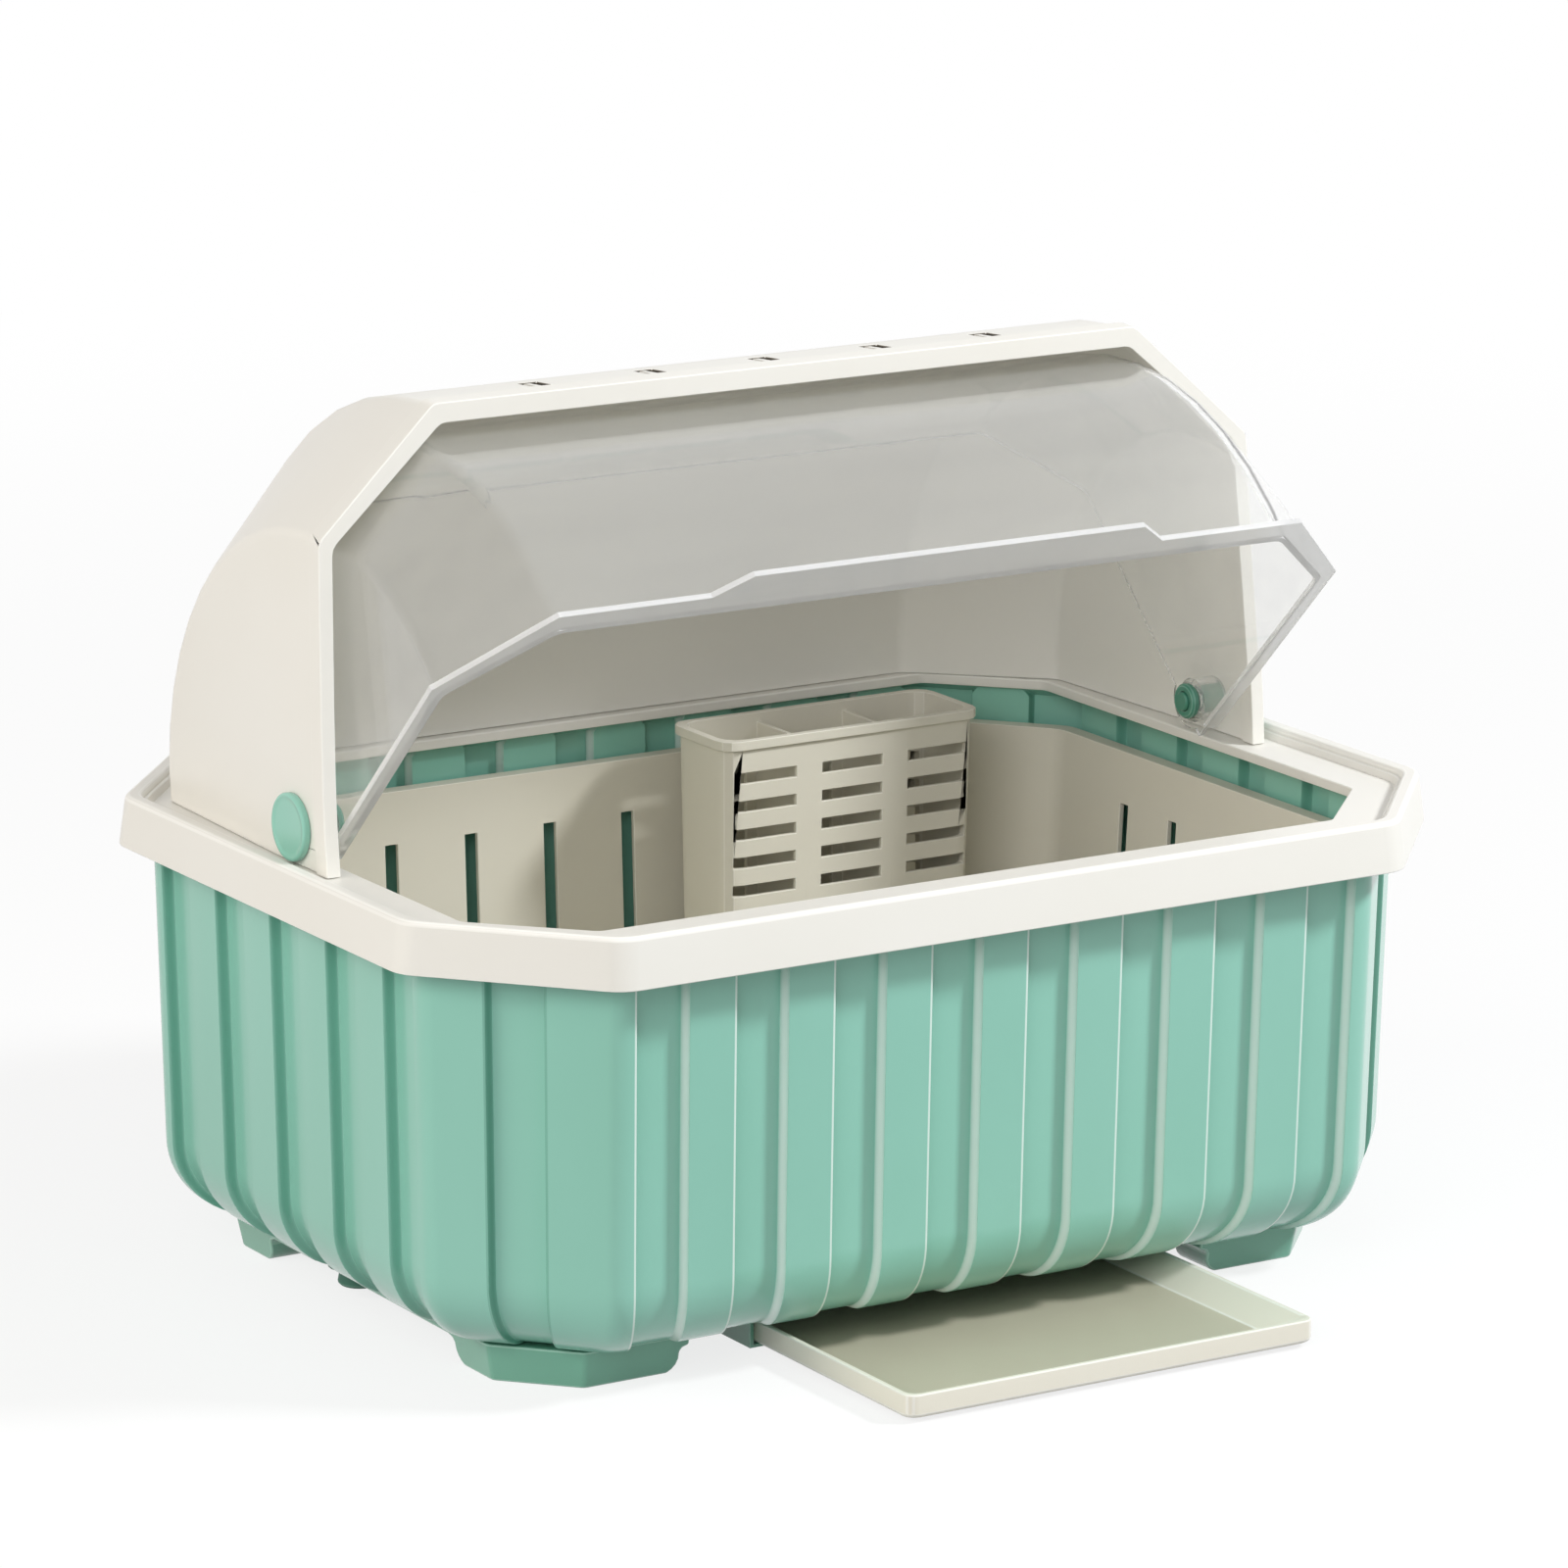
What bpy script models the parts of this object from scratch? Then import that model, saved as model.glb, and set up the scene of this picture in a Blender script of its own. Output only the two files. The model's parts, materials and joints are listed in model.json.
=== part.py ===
# Covered dish drainer: a ribbed tub on four feet with a drip tray under it, a drain basket with a
# plate rack and a cutlery holder inside, and a lift-off top of collar, hood and clear flip cover.
# Metres, +Z up, +X to the right, the open front towards -Y. The top stands on the tub's rim.
from math import atan2, cos, hypot, pi, radians, sin, tan

import bmesh
import bpy
from mathutils import Vector

# Clearances and cutting
FIT_GAP = 0.0003          # between faces that rest on each other
RUN_GAP = 0.0006          # beside faces that slide
CUT_OVERRUN = 0.004       # how far a cutter passes the face that it opens

# Collar, measured at the lower edge of its skirt
COLLAR_LENGTH = 0.480
COLLAR_DEPTH = 0.367
COLLAR_CUT_X = 0.060      # corner cut, along X and along Y
COLLAR_CUT_Y = 0.067
COLLAR_CORNER_RADIUS = 0.016
COLLAR_TOP = 0.193
COLLAR_SKIRT = 0.0205
COLLAR_FLARE = 0.0025
COLLAR_WALL = 0.0025
BEAD_WIDTH = 0.0080       # the raised lip round the collar's top
BEAD_SLOPE = 0.0012
BEAD_ROUND = 0.0012
LEDGE_DROP = 0.0055       # from the lip down to the ledge that the hood stands on
OPENING_SIDE_BORDER = 0.032   # from the collar's outline to the opening
OPENING_FRONT_BORDER = 0.0355
OPENING_REAR_BORDER = 0.0275
OPENING_CUT_X = 0.038
OPENING_CUT_Y = 0.039
OPENING_RADIUS = 0.006
OPENING_LIP = 0.0045

# Tub
TUB_INSET = 0.013         # top of the tub's wall inside the collar's outline
TUB_WALL = 0.003
TUB_DRAFT = 0.0033        # how much the wall leans in from its top to the bend
TUB_FLOOR = 0.016         # underside of the floor above the table
TUB_BEND_RADIUS = 0.033
TUB_CORNER_RADIUS = 0.012
TUB_RIM_WIDTH = 0.0062
TUB_RIM_HEIGHT = 0.0026
RIM_UNDERCUT = 0.0004
GROOVE_DEPTH = 0.005      # the upright panels between the ribs lie this far in
GROOVE_FLANK = 0.0014
LONG_GROOVE_COUNT = 8
SIDE_GROOVE_COUNT = 5
CORNER_GROOVE_COUNT = 1
GROOVE_END = 0.00805      # from a side's corner to its first groove, at the rim
CORNER_GROOVE_END = 0.0282
CORNER_SHIFT = 0.0026     # the corner's groove stands nearer to the short side
GROOVE_WIDTH_SHARE = 0.5  # of the pitch
FLANK_SHARE = 0.75        # how much wider each groove is on the inner skin, as a share of the wall
BEND_STEP_COUNT = 4

# Drain outlet over the tray, and the plug seen under the left side
OUTLET_BORE = 0.022
OUTLET_WALL = 0.0025
OUTLET_DROP = 0.0022
OUTLET_Y = -0.042
PLUG_SIDE_INSET = 0.0568  # from the collar's left end
PLUG_Y = 0.0195
PLUG_SHANK = 0.0105
PLUG_HEAD = 0.0145
PLUG_HEAD_HEIGHT = 0.0022
PLUG_FLANGE = 0.026
PLUG_FLANGE_HEIGHT = 0.0028
PLUG_GRIP = 0.018
PLUG_GRIP_TAPER = 0.0012
PLUG_CLEAR = 0.005        # left under the plug's grip

# Feet, measured where they stand
FOOT_INSET_X = 0.048      # inside the collar's outline
FOOT_INSET_Y = 0.0535
FOOT_CUT_X = 0.0255
FOOT_CUT_Y = 0.027
FOOT_TAPER = 0.0032       # how much wider the outline is at the top
FOOT_WIDTH = 0.022
FOOT_RUNNER_GAP = 0.0089  # from the right runner to the inner end on the long side
FOOT_REACH_Y = 0.054      # from the outline's long side to the inner end on the short side
FOOT_CORNER_RADIUS = 0.004
FOOT_END_TRIM = 0.005     # how far the ends draw back at the table
FOOT_FILLET = 0.004       # how far the ends run out under the rail
FOOT_LEVEL_SHARES = (0.0, 0.08, 0.2, 0.36, 0.54, 0.64, 0.7, 0.72, 1.0)
FOOT_TRIM_SHARES = (1.0, 0.55, 0.2, 0.0, 0.0, 0.0, 0.0, 0.0, 0.0)
FOOT_FILLET_SHARES = (0.0, 0.0, 0.0, 0.0, 0.0, 0.25, 1.0, 1.0, 1.0)
FOOT_RAIL_SHARES = (0.0, 0.0, 0.0, 0.0, 0.0, 0.0, 0.0, 1.0, 1.0)
RAIL_END_FRONT = 0.0      # the feet's rails along the short sides stop here, either side of the plug
RAIL_END_REAR = 0.036

# Drip tray and its runners
TRAY_SIDE_INSET = 0.145   # from the collar's ends to the tray's sides
TRAY_LENGTH = 0.250
TRAY_HEIGHT = 0.0096
TRAY_X = 0.0115           # the tray lies a little to the right of the middle
TRAY_LIFT = 0.0020        # underside of the tray above the table
TRAY_PULL = 0.049         # how far the tray stands out before the collar
TRAY_WALL = 0.0020
TRAY_SLOPE = 0.012
TRAY_FOOT_EDGE = 0.0014
TRAY_RADIUS = 0.005
RUNNER_WEB = 0.0020
RUNNER_FLANGE = 0.0085
RUNNER_LIP = 0.0055
RUNNER_THICK = 0.0013
RUNNER_FRONT_INSET = 0.0625
RUNNER_REAR_INSET = 0.0855
RUNNER_LEAD = 0.006       # slanted lead-in at the front end of the lip

# Drain basket
BASKET_GAP = 0.0030       # beside the tub's wall, at the basket's rim
BASKET_RIM_DROP = 0.0245  # rim below the collar's top
BASKET_RIM_WIDTH = 0.005
BASKET_RIM_HEIGHT = 0.0025
BASKET_WALL = 0.0022
BASKET_DRAFT = 0.006
BASKET_FLOOR = 0.031      # underside of the basket's floor above the table
BASKET_BEND = 0.014
BASKET_CORNER_RADIUS = 0.012
BASKET_LEG = 0.012
BASKET_LEG_X_SHARE = 0.25     # of the collar's length, and so are the next shares along X
BASKET_LEG_Y_SHARE = 0.2316   # of the collar's depth, and so are the next shares along Y
SLOT_WIDTH = 0.006
FLOOR_SLOT_SHARE = 0.1853
FLOOR_COLUMN_COUNT = 13
FLOOR_COLUMN_SHARE = 0.0531
FLOOR_ROW_COUNT = 3
FLOOR_ROW_SHARE = 0.2234
WALL_SLOT_LOW = 0.062
WALL_SLOT_HIGH = 0.146
LONG_WALL_SLOT_COUNT = 8
LONG_WALL_SHARE = 0.0792
SIDE_WALL_SLOT_COUNT = 4
SIDE_WALL_SHARE = 0.0981

# Plate rack
RACK_SIDE_INSET = 0.050   # from the collar's left end
RACK_TOOTH_COUNT = 10
RACK_PITCH = 0.0175
RACK_TOOTH_HEIGHT = 0.046
RACK_TOOTH_FOOT = 0.0072
RACK_TOOTH_TIP = 0.0034
RACK_RAIL = 0.009
RACK_THICK = 0.0032
RACK_COMB_SHARE = 0.18    # of the collar's depth, either side of the middle
RACK_BAR_COUNT = 3
RACK_BAR_WIDTH = 0.006
RACK_BAR_HEIGHT = 0.005

# Cutlery holder
HOLDER_SIDE_INSET = 0.084 # from the collar's right end
HOLDER_REAR_INSET = 0.051 # from the collar's rear
HOLDER_WIDTH = 0.128
HOLDER_DEPTH = 0.0465
HOLDER_HEIGHT = 0.154
HOLDER_WALL = 0.002
HOLDER_RADIUS = 0.008
HOLDER_TAPER = 0.0025
HOLDER_RIM = 0.0016
HOLDER_RIM_HEIGHT = 0.004
HOLDER_CELL_COUNT = 3
HOLDER_ROW_COUNT = 6
HOLDER_SLOT_PITCH = 0.0122
HOLDER_SLOT_HEIGHT = 0.0048
HOLDER_SLOT_LENGTH = 0.030
HOLDER_SLOT_TOP = 0.014   # first slot below the holder's rim
HOLDER_HOLE = 0.007

# Hood, turned about the pivot line
PIVOT_Y = 0.001
PIVOT_RISE = 0.015        # pivot line above the ledge
HOOD_REAR_INSET = 0.019   # from the collar's rear
HOOD_SIDE_INSET = 0.0195  # from the collar's ends, at the pivot
HOOD_SIDE_LEAN = 0.0045   # how much nearer the sides are where the corner cut starts
HOOD_CUT_X = 0.0525       # corner cut, along X and along the radius
HOOD_CUT_R = 0.0475
HOOD_WALL = 0.0028
HOOD_CORNER_RADIUS = 0.006
HOOD_PAD_RADIUS = 0.020
HOOD_FRONT = 0.0275       # front plane before the pivot line, square to the plane
HOOD_LEAN = radians(5.3)
HOOD_LIP = 0.0018         # the front edge's lip outwards, then inwards at the sides and at the top
HOOD_LIP_IN_SIDE = 0.0014
HOOD_LIP_IN_TOP = 0.0034
HOOD_LIP_DEPTH = 0.0085
HOOD_SEGMENT_COUNT = 44
VENT_COUNT = 5
VENT_PITCH_SHARE = 0.324  # of the hood's half width at the top
VENT_WIDTH = 0.0088
VENT_LENGTH = 0.012
VENT_Y = 0.0115

# Clear cover, drawn closed and then swung open about the pivot line
COVER_FLANGE = 0.0085      # the rim's flange along the front
COVER_SIDE_FLANGE = 0.0045
COVER_SIDE_INSET = 0.010   # from the hood's side to the flange's edge
COVER_FRONT_SPREAD = 0.008 # how much wider the front is than the hood's top
COVER_UNDERCUT = 0.0055    # how much shorter its reach is than the hood's
COVER_CORNER_RADIUS = 0.007
COVER_WALL = 0.0025
COVER_FLANGE_THICK = 0.0025
COVER_REAR = 0.005         # rear edge behind the pivot line, when closed
COVER_SEGMENT_COUNT = 44
COVER_OPEN_ANGLE = radians(45.0)
GRIP_SHARE = 0.525         # of the cover's half width at the front
GRIP_SLANT = 0.014
GRIP_DEPTH = 0.012
EAR_RADIUS = 0.012
BOSS_RADIUS = 0.0092

# Pivot buttons and their inner clips
PIN_RADIUS = 0.004
SHAFT_RADIUS = 0.006
BUTTON_RADIUS = 0.0137
BUTTON_THICK = 0.0030
BUTTON_EDGE = 0.0011
BUTTON_DISH = 0.0006
CLIP_RADIUS = 0.0075
CLIP_THICK = 0.0030
CLIP_CHAMFER = 0.0010
PIN_PROUD = 0.0012
TURNED_SEGMENT_COUNT = 24

EIGHTH_TURN = tan(pi / 8)  # how an octagon's corner moves along its side when it is inset

# Heights and places that follow from the sizes above
OPENING_LENGTH = COLLAR_LENGTH - 2 * OPENING_SIDE_BORDER
OPENING_FRONT = COLLAR_DEPTH / 2 - OPENING_FRONT_BORDER
OPENING_REAR = COLLAR_DEPTH / 2 - OPENING_REAR_BORDER
LEDGE_TOP = COLLAR_TOP - LEDGE_DROP
LEDGE_UNDER = LEDGE_TOP - COLLAR_WALL
SKIRT_BOTTOM = COLLAR_TOP - COLLAR_SKIRT
TUB_TOP = LEDGE_UNDER - FIT_GAP
TUB_INNER_FLOOR = TUB_FLOOR + TUB_WALL
FOOT_TOP = TUB_FLOOR - FIT_GAP
PIVOT_Z = LEDGE_TOP + PIVOT_RISE
COVER_DROP = PIVOT_RISE - FIT_GAP
BASKET_INNER_FLOOR = BASKET_FLOOR + BASKET_WALL
BASKET_RIM = COLLAR_TOP - BASKET_RIM_DROP
INSERT_FLOOR = BASKET_INNER_FLOOR + FIT_GAP
PLUG_X = PLUG_SIDE_INSET - COLLAR_LENGTH / 2
TRAY_WIDTH = COLLAR_LENGTH - 2 * TRAY_SIDE_INSET
TRAY_FRONT = COLLAR_DEPTH / 2 + TRAY_PULL
RUNNER_FRONT = COLLAR_DEPTH / 2 - RUNNER_FRONT_INSET
RUNNER_REAR = COLLAR_DEPTH / 2 - RUNNER_REAR_INSET
FOOT_LENGTH = COLLAR_LENGTH - 2 * FOOT_INSET_X
FOOT_DEPTH = COLLAR_DEPTH - 2 * FOOT_INSET_Y
FOOT_END_X = TRAY_X + TRAY_WIDTH / 2 + RUN_GAP + RUNNER_FLANGE + FOOT_RUNNER_GAP
FOOT_END_Y = FOOT_DEPTH / 2 - FOOT_REACH_Y
RACK_LEFT = COLLAR_LENGTH / 2 - RACK_SIDE_INSET
RACK_COMB_Y = COLLAR_DEPTH * RACK_COMB_SHARE
HOLDER_RIGHT = COLLAR_LENGTH / 2 - HOLDER_SIDE_INSET
HOLDER_LEFT = HOLDER_RIGHT - HOLDER_WIDTH
HOLDER_REAR = COLLAR_DEPTH / 2 - HOLDER_REAR_INSET
HOLDER_FRONT = HOLDER_REAR - HOLDER_DEPTH
HOOD_RADIUS = COLLAR_DEPTH / 2 - PIVOT_Y - HOOD_REAR_INSET
HOOD_HALF_LOW = COLLAR_LENGTH / 2 - HOOD_SIDE_INSET
HOOD_HALF_HIGH = HOOD_HALF_LOW - HOOD_SIDE_LEAN
HOOD_HALF_TOP = HOOD_HALF_HIGH - HOOD_CUT_X
HOOD_CUT_START = HOOD_RADIUS - HOOD_CUT_R
COVER_HALF_LENGTH = HOOD_HALF_LOW - COVER_SIDE_INSET
COVER_HALF_FRONT = HOOD_HALF_TOP + COVER_FRONT_SPREAD
COVER_CUT_START = HOOD_CUT_START
COVER_REACH = HOOD_RADIUS - COVER_UNDERCUT
GRIP_HALF_LENGTH = COVER_HALF_FRONT * GRIP_SHARE
EAR_OUTER = COVER_HALF_LENGTH - COVER_SIDE_FLANGE
EAR_INNER = EAR_OUTER - COVER_WALL
COLLAR_OUTLINE = (COLLAR_LENGTH / 2, COLLAR_DEPTH / 2, COLLAR_CUT_X, COLLAR_CUT_Y)
# The whole object is moved so that its box is centred on the origin with the tray pulled out.
CENTRE_SHIFT = (TRAY_FRONT - COLLAR_DEPTH / 2) / 2


# Plain helpers
def inset(outline, distance):
    # An octagon is half length, half depth and the two lengths of its corner cut.
    half_x, half_y, cut_x, cut_y = outline
    slant = hypot(cut_x, cut_y)
    vertex_y = half_y - cut_y - distance * (slant - cut_y) / cut_x
    vertex_x = half_x - cut_x - distance * (slant - cut_x) / cut_y
    new_x = half_x - distance
    new_y = half_y - distance
    return (new_x, new_y, new_x - vertex_x, new_y - vertex_y)


def octagon(outline, shift_y=0.0):
    half_x, half_y, cut_x, cut_y = outline
    corners = [(half_x - cut_x, -half_y), (half_x, cut_y - half_y)]
    corners += [(x, -y) for x, y in reversed(corners)]
    corners += [(-x, y) for x, y in reversed(corners)]
    return [(x, y + shift_y) for x, y in corners]


def arc_at(corner, before, after, radius, steps):
    # Points of a rounding at one corner of a path.
    here = Vector(corner)
    back = (Vector(before) - here).normalized()
    ahead = (Vector(after) - here).normalized()
    half_angle = back.angle(ahead) / 2
    centre = here + (back + ahead).normalized() * radius / sin(half_angle)
    first = here + back * (radius / tan(half_angle)) - centre
    last = here + ahead * (radius / tan(half_angle)) - centre
    start = atan2(first.y, first.x)
    turn = (atan2(last.y, last.x) - start + pi) % (2 * pi) - pi
    angles = [start + turn * step / steps for step in range(steps + 1)]
    return [(centre.x + radius * cos(angle), centre.y + radius * sin(angle)) for angle in angles]


def rounded(corners, radius, steps, closed=True):
    points = []
    last = len(corners) - 1
    for index, corner in enumerate(corners):
        if not closed and index in (0, last):
            points.append(tuple(corner))
        else:
            after = corners[(index + 1) % len(corners)]
            points += arc_at(corner, corners[index - 1], after, radius, steps)
    return points


def at_height(points, z):
    return [(x, y, z) for x, y in points]


def rectangle(left, right, front, rear):
    return [(left, front), (right, front), (right, rear), (left, rear)]


def lofted(rings, looped=False):
    # Skin rings of equally many points; the ends are closed, or joined when the loft is a loop.
    shape = bmesh.new()
    rows = [[shape.verts.new(point) for point in ring] for ring in rings]
    pairs = list(zip(rows, rows[1:]))
    if looped:
        pairs.append((rows[-1], rows[0]))
    for low, high in pairs:
        for index in range(len(low)):
            after = (index + 1) % len(low)
            shape.faces.new((low[index], low[after], high[after], high[index]))
    if not looped:
        shape.faces.new(rows[0])
        shape.faces.new(rows[-1])
    return shape


def extruded(points, low, high, axis="Z"):
    # A flat outline between two levels along an axis.
    places = {
        "X": lambda a, b, t: (t, a, b),
        "Y": lambda a, b, t: (a, t, b),
        "Z": lambda a, b, t: (a, b, t),
    }
    place = places[axis]
    return lofted([[place(a, b, level) for a, b in points] for level in (low, high)])


def turned(profile, segments, centre):
    # Profile points are (x, radius); the form turns about a line along X through the centre.
    angles = [2 * pi * index / segments for index in range(segments)]
    rings = []
    for x, radius in profile:
        rings.append([(x, centre[0] + radius * cos(a), centre[1] + radius * sin(a)) for a in angles])
    return lofted(rings)


def round_post(x, y, radius, low, high, segments=TURNED_SEGMENT_COUNT):
    angles = [2 * pi * index / segments for index in range(segments)]
    return extruded([(x + radius * cos(a), y + radius * sin(a)) for a in angles], low, high)


def box(left, right, front, rear, low, high):
    return extruded(rectangle(left, right, front, rear), low, high)


def together(shapes):
    # Join several closed forms that do not touch into one mesh, for use as one cutter.
    joined = bmesh.new()
    for shape in shapes:
        mesh = bpy.data.meshes.new("piece")
        shape.to_mesh(mesh)
        shape.free()
        joined.from_mesh(mesh)
        bpy.data.meshes.remove(mesh)
    return joined


def make_object(name, shape, parent, material=None, smooth_angle=radians(35)):
    bmesh.ops.recalc_face_normals(shape, faces=shape.faces)
    mesh = bpy.data.meshes.new(name)
    shape.to_mesh(mesh)
    shape.free()
    item = bpy.data.objects.new(name, mesh)
    bpy.context.scene.collection.objects.link(item)
    item.parent = parent
    if material:
        mesh.materials.append(material)
        mesh.shade_smooth()
        mesh.set_sharp_from_angle(angle=smooth_angle)
    return item


def combine(target, shape, operation, parent, name):
    # Cut, add or keep by a form, which stays as a wire guide.
    guide = make_object(name, shape, parent)
    guide.display_type = "WIRE"
    guide.hide_render = True
    modifier = target.modifiers.new(name, "BOOLEAN")
    modifier.operation = operation
    modifier.solver = "EXACT"
    modifier.object = guide
    return guide


def plastic(name, colour, roughness, alpha=1.0, transmission=0.0):
    material = bpy.data.materials.new(name)
    material.use_nodes = True
    shader = material.node_tree.nodes["Principled BSDF"]
    shader.inputs["Base Color"].default_value = (*colour, 1.0)
    shader.inputs["Roughness"].default_value = roughness
    shader.inputs["Metallic"].default_value = 0.0
    shader.inputs["Alpha"].default_value = alpha
    shader.inputs["Transmission Weight"].default_value = transmission
    return material


def empty(name, parent, location, turn_x=0.0):
    holder = bpy.data.objects.new(name, None)
    bpy.context.scene.collection.objects.link(holder)
    holder.parent = parent
    holder.location = location
    holder.rotation_euler.x = turn_x
    return holder


# Tub
def spread(count, pitch, shift=0.0):
    return [shift + (index - (count - 1) / 2) * pitch for index in range(count)]


def side_lengths(outline):
    half_x, half_y, cut_x, cut_y = outline
    corner = hypot(cut_x, cut_y)
    return [corner, 2 * (half_y - cut_y), corner, 2 * (half_x - cut_x)] * 2


def ribbed_ring(outline, full_outline, depth, widen, radius, z):
    # One level of the tub's wall: eight sides, rounded corners, and upright grooves that keep
    # their share of each side while the outline shrinks round the bend.
    layouts = [
        (CORNER_GROOVE_COUNT, CORNER_GROOVE_END, CORNER_SHIFT),
        (SIDE_GROOVE_COUNT, GROOVE_END, 0.0),
        (CORNER_GROOVE_COUNT, CORNER_GROOVE_END, -CORNER_SHIFT),
        (LONG_GROOVE_COUNT, GROOVE_END, 0.0),
    ]
    corners = octagon(outline)
    full_lengths = side_lengths(full_outline)
    points = []
    for index, corner in enumerate(corners):
        after = corners[(index + 1) % len(corners)]
        points += arc_at(corner, corners[index - 1], after, radius, 2)
        start = Vector(corner)
        along = Vector(after) - start
        full_length = full_lengths[index]
        scale = along.length / full_length
        middle = start + along / 2
        along.normalize()
        inward = Vector((-along.y, along.x))
        count, end, shift = layouts[index % len(layouts)]
        pitch = (full_length - 2 * end) / (count - 1 + GROOVE_WIDTH_SHARE)
        half_width = pitch * GROOVE_WIDTH_SHARE / 2 + widen
        wide = half_width + GROOVE_FLANK / 2
        narrow = half_width - GROOVE_FLANK / 2
        for centre in spread(count, pitch, shift):
            for offset, sink in ((-wide, 0.0), (-narrow, depth), (narrow, depth), (wide, 0.0)):
                point = middle + along * (centre + offset) * scale + inward * sink
                points.append((point.x, point.y))
    return at_height(points, z)


def tub_ring(distance, z, depth=GROOVE_DEPTH, thickness=0.0):
    # Thickness is the wall's where the ring is on the inner skin, and zero on the outer one.
    full = inset(COLLAR_OUTLINE, TUB_INSET)
    widen = thickness * FLANK_SHARE
    outline = inset(COLLAR_OUTLINE, distance)
    return ribbed_ring(outline, full, depth, widen, TUB_CORNER_RADIUS - thickness, z)


def tub_bend(thickness):
    # Rings from the floor's edge up round the bend; the inner skin shares the outer one's centre.
    centre_inset = TUB_INSET + TUB_DRAFT + TUB_BEND_RADIUS
    centre_z = TUB_FLOOR + TUB_BEND_RADIUS
    reach = TUB_BEND_RADIUS - thickness
    angles = [step / BEND_STEP_COUNT * pi / 2 for step in range(BEND_STEP_COUNT + 1)]
    steps = [(centre_inset - reach * sin(a), centre_z - reach * cos(a)) for a in angles]
    return [tub_ring(distance, z, thickness=thickness) for distance, z in steps]


def tub_drop_inset(z):
    # Outer wall's inset at a height above the bend.
    wall_height = TUB_TOP - TUB_FLOOR - TUB_BEND_RADIUS
    return TUB_INSET + TUB_DRAFT * (TUB_TOP - z) / wall_height


def build_tub(parent, green):
    rim_under = TUB_TOP - TUB_RIM_HEIGHT
    inner_top = TUB_INSET + GROOVE_DEPTH + TUB_WALL
    rings = tub_bend(0.0)
    rings.append(tub_ring(TUB_INSET, rim_under - RIM_UNDERCUT))
    rings.append(tub_ring(TUB_INSET - TUB_RIM_WIDTH, rim_under, depth=0.0))
    rings.append(tub_ring(TUB_INSET - TUB_RIM_WIDTH, TUB_TOP, depth=0.0))
    rings.append(tub_ring(inner_top, TUB_TOP, depth=0.0))
    rings.append(tub_ring(inner_top, rim_under, depth=0.0))
    rings.append(tub_ring(TUB_INSET + TUB_WALL, rim_under - TUB_WALL, thickness=TUB_WALL))
    rings += reversed(tub_bend(TUB_WALL))
    tub = make_object("tub", lofted(rings), parent, green)
    spout_low = TUB_FLOOR - OUTLET_DROP
    spout = round_post(TRAY_X, OUTLET_Y, OUTLET_BORE / 2 + OUTLET_WALL, spout_low, TUB_FLOOR + TUB_WALL / 2)
    combine(tub, spout, "UNION", parent, "outlet_spout_form")
    bore_low = spout_low - CUT_OVERRUN
    bore_high = TUB_INNER_FLOOR + CUT_OVERRUN
    bores = [
        round_post(TRAY_X, OUTLET_Y, OUTLET_BORE / 2, bore_low, bore_high),
        round_post(PLUG_X, PLUG_Y, PLUG_SHANK / 2 + FIT_GAP, bore_low, bore_high),
    ]
    combine(tub, together(bores), "DIFFERENCE", parent, "floor_bores")


def build_plug(parent, dark_green):
    flange_top = TUB_FLOOR - FIT_GAP
    flange_low = flange_top - PLUG_FLANGE_HEIGHT
    head_low = TUB_INNER_FLOOR + FIT_GAP
    profile = [
        (PLUG_GRIP / 2 - PLUG_GRIP_TAPER, PLUG_CLEAR),
        (PLUG_GRIP / 2, PLUG_CLEAR + PLUG_GRIP_TAPER),
        (PLUG_GRIP / 2 - PLUG_GRIP_TAPER, flange_low),
        (PLUG_FLANGE / 2, flange_low),
        (PLUG_FLANGE / 2, flange_top),
        (PLUG_SHANK / 2, flange_top),
        (PLUG_SHANK / 2, head_low),
        (PLUG_HEAD / 2, head_low),
        (PLUG_HEAD / 2 - PLUG_GRIP_TAPER, head_low + PLUG_HEAD_HEIGHT),
    ]
    angles = [2 * pi * index / TURNED_SEGMENT_COUNT for index in range(TURNED_SEGMENT_COUNT)]
    rings = [[(PLUG_X + r * cos(a), PLUG_Y + r * sin(a), z) for a in angles] for r, z in profile]
    make_object("drain_plug", lofted(rings), parent, dark_green)


# Feet
def foot_ring(side_x, side_y, grow, end_x, end_y, z):
    # A band round one corner of the feet's outline, with both ends square.
    outline = (FOOT_LENGTH / 2, FOOT_DEPTH / 2, FOOT_CUT_X, FOOT_CUT_Y)
    outer = inset(outline, -grow)
    inner = inset(outline, FOOT_WIDTH)
    path = [
        (end_x, outer[1]),
        (outer[0] - outer[2], outer[1]),
        (outer[0], outer[1] - outer[3]),
        (outer[0], end_y),
    ]
    back = [
        (inner[0], end_y),
        (inner[0], inner[1] - inner[3]),
        (inner[0] - inner[2], inner[1]),
        (end_x, inner[1]),
    ]
    points = rounded(path, FOOT_CORNER_RADIUS, 2, closed=False) + back
    return [(side_x * x, side_y * y, z) for x, y in points]


def build_feet(parent, green):
    shares = list(zip(FOOT_LEVEL_SHARES, FOOT_TRIM_SHARES, FOOT_FILLET_SHARES, FOOT_RAIL_SHARES))
    for end, side_y, rail_end in (("front", -1, -RAIL_END_FRONT), ("rear", 1, RAIL_END_REAR)):
        for side, side_x in (("left", -1), ("right", 1)):
            rings = []
            for level, trim, fillet, rail in shares:
                change = FOOT_END_TRIM * trim - FOOT_FILLET * fillet
                end_y = FOOT_END_Y + change
                end_y += (rail_end - end_y) * rail
                grow = FOOT_TAPER * level
                rings.append(foot_ring(side_x, side_y, grow, FOOT_END_X + change, end_y, FOOT_TOP * level))
            make_object(f"foot_{end}_{side}", lofted(rings), parent, green)


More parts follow.
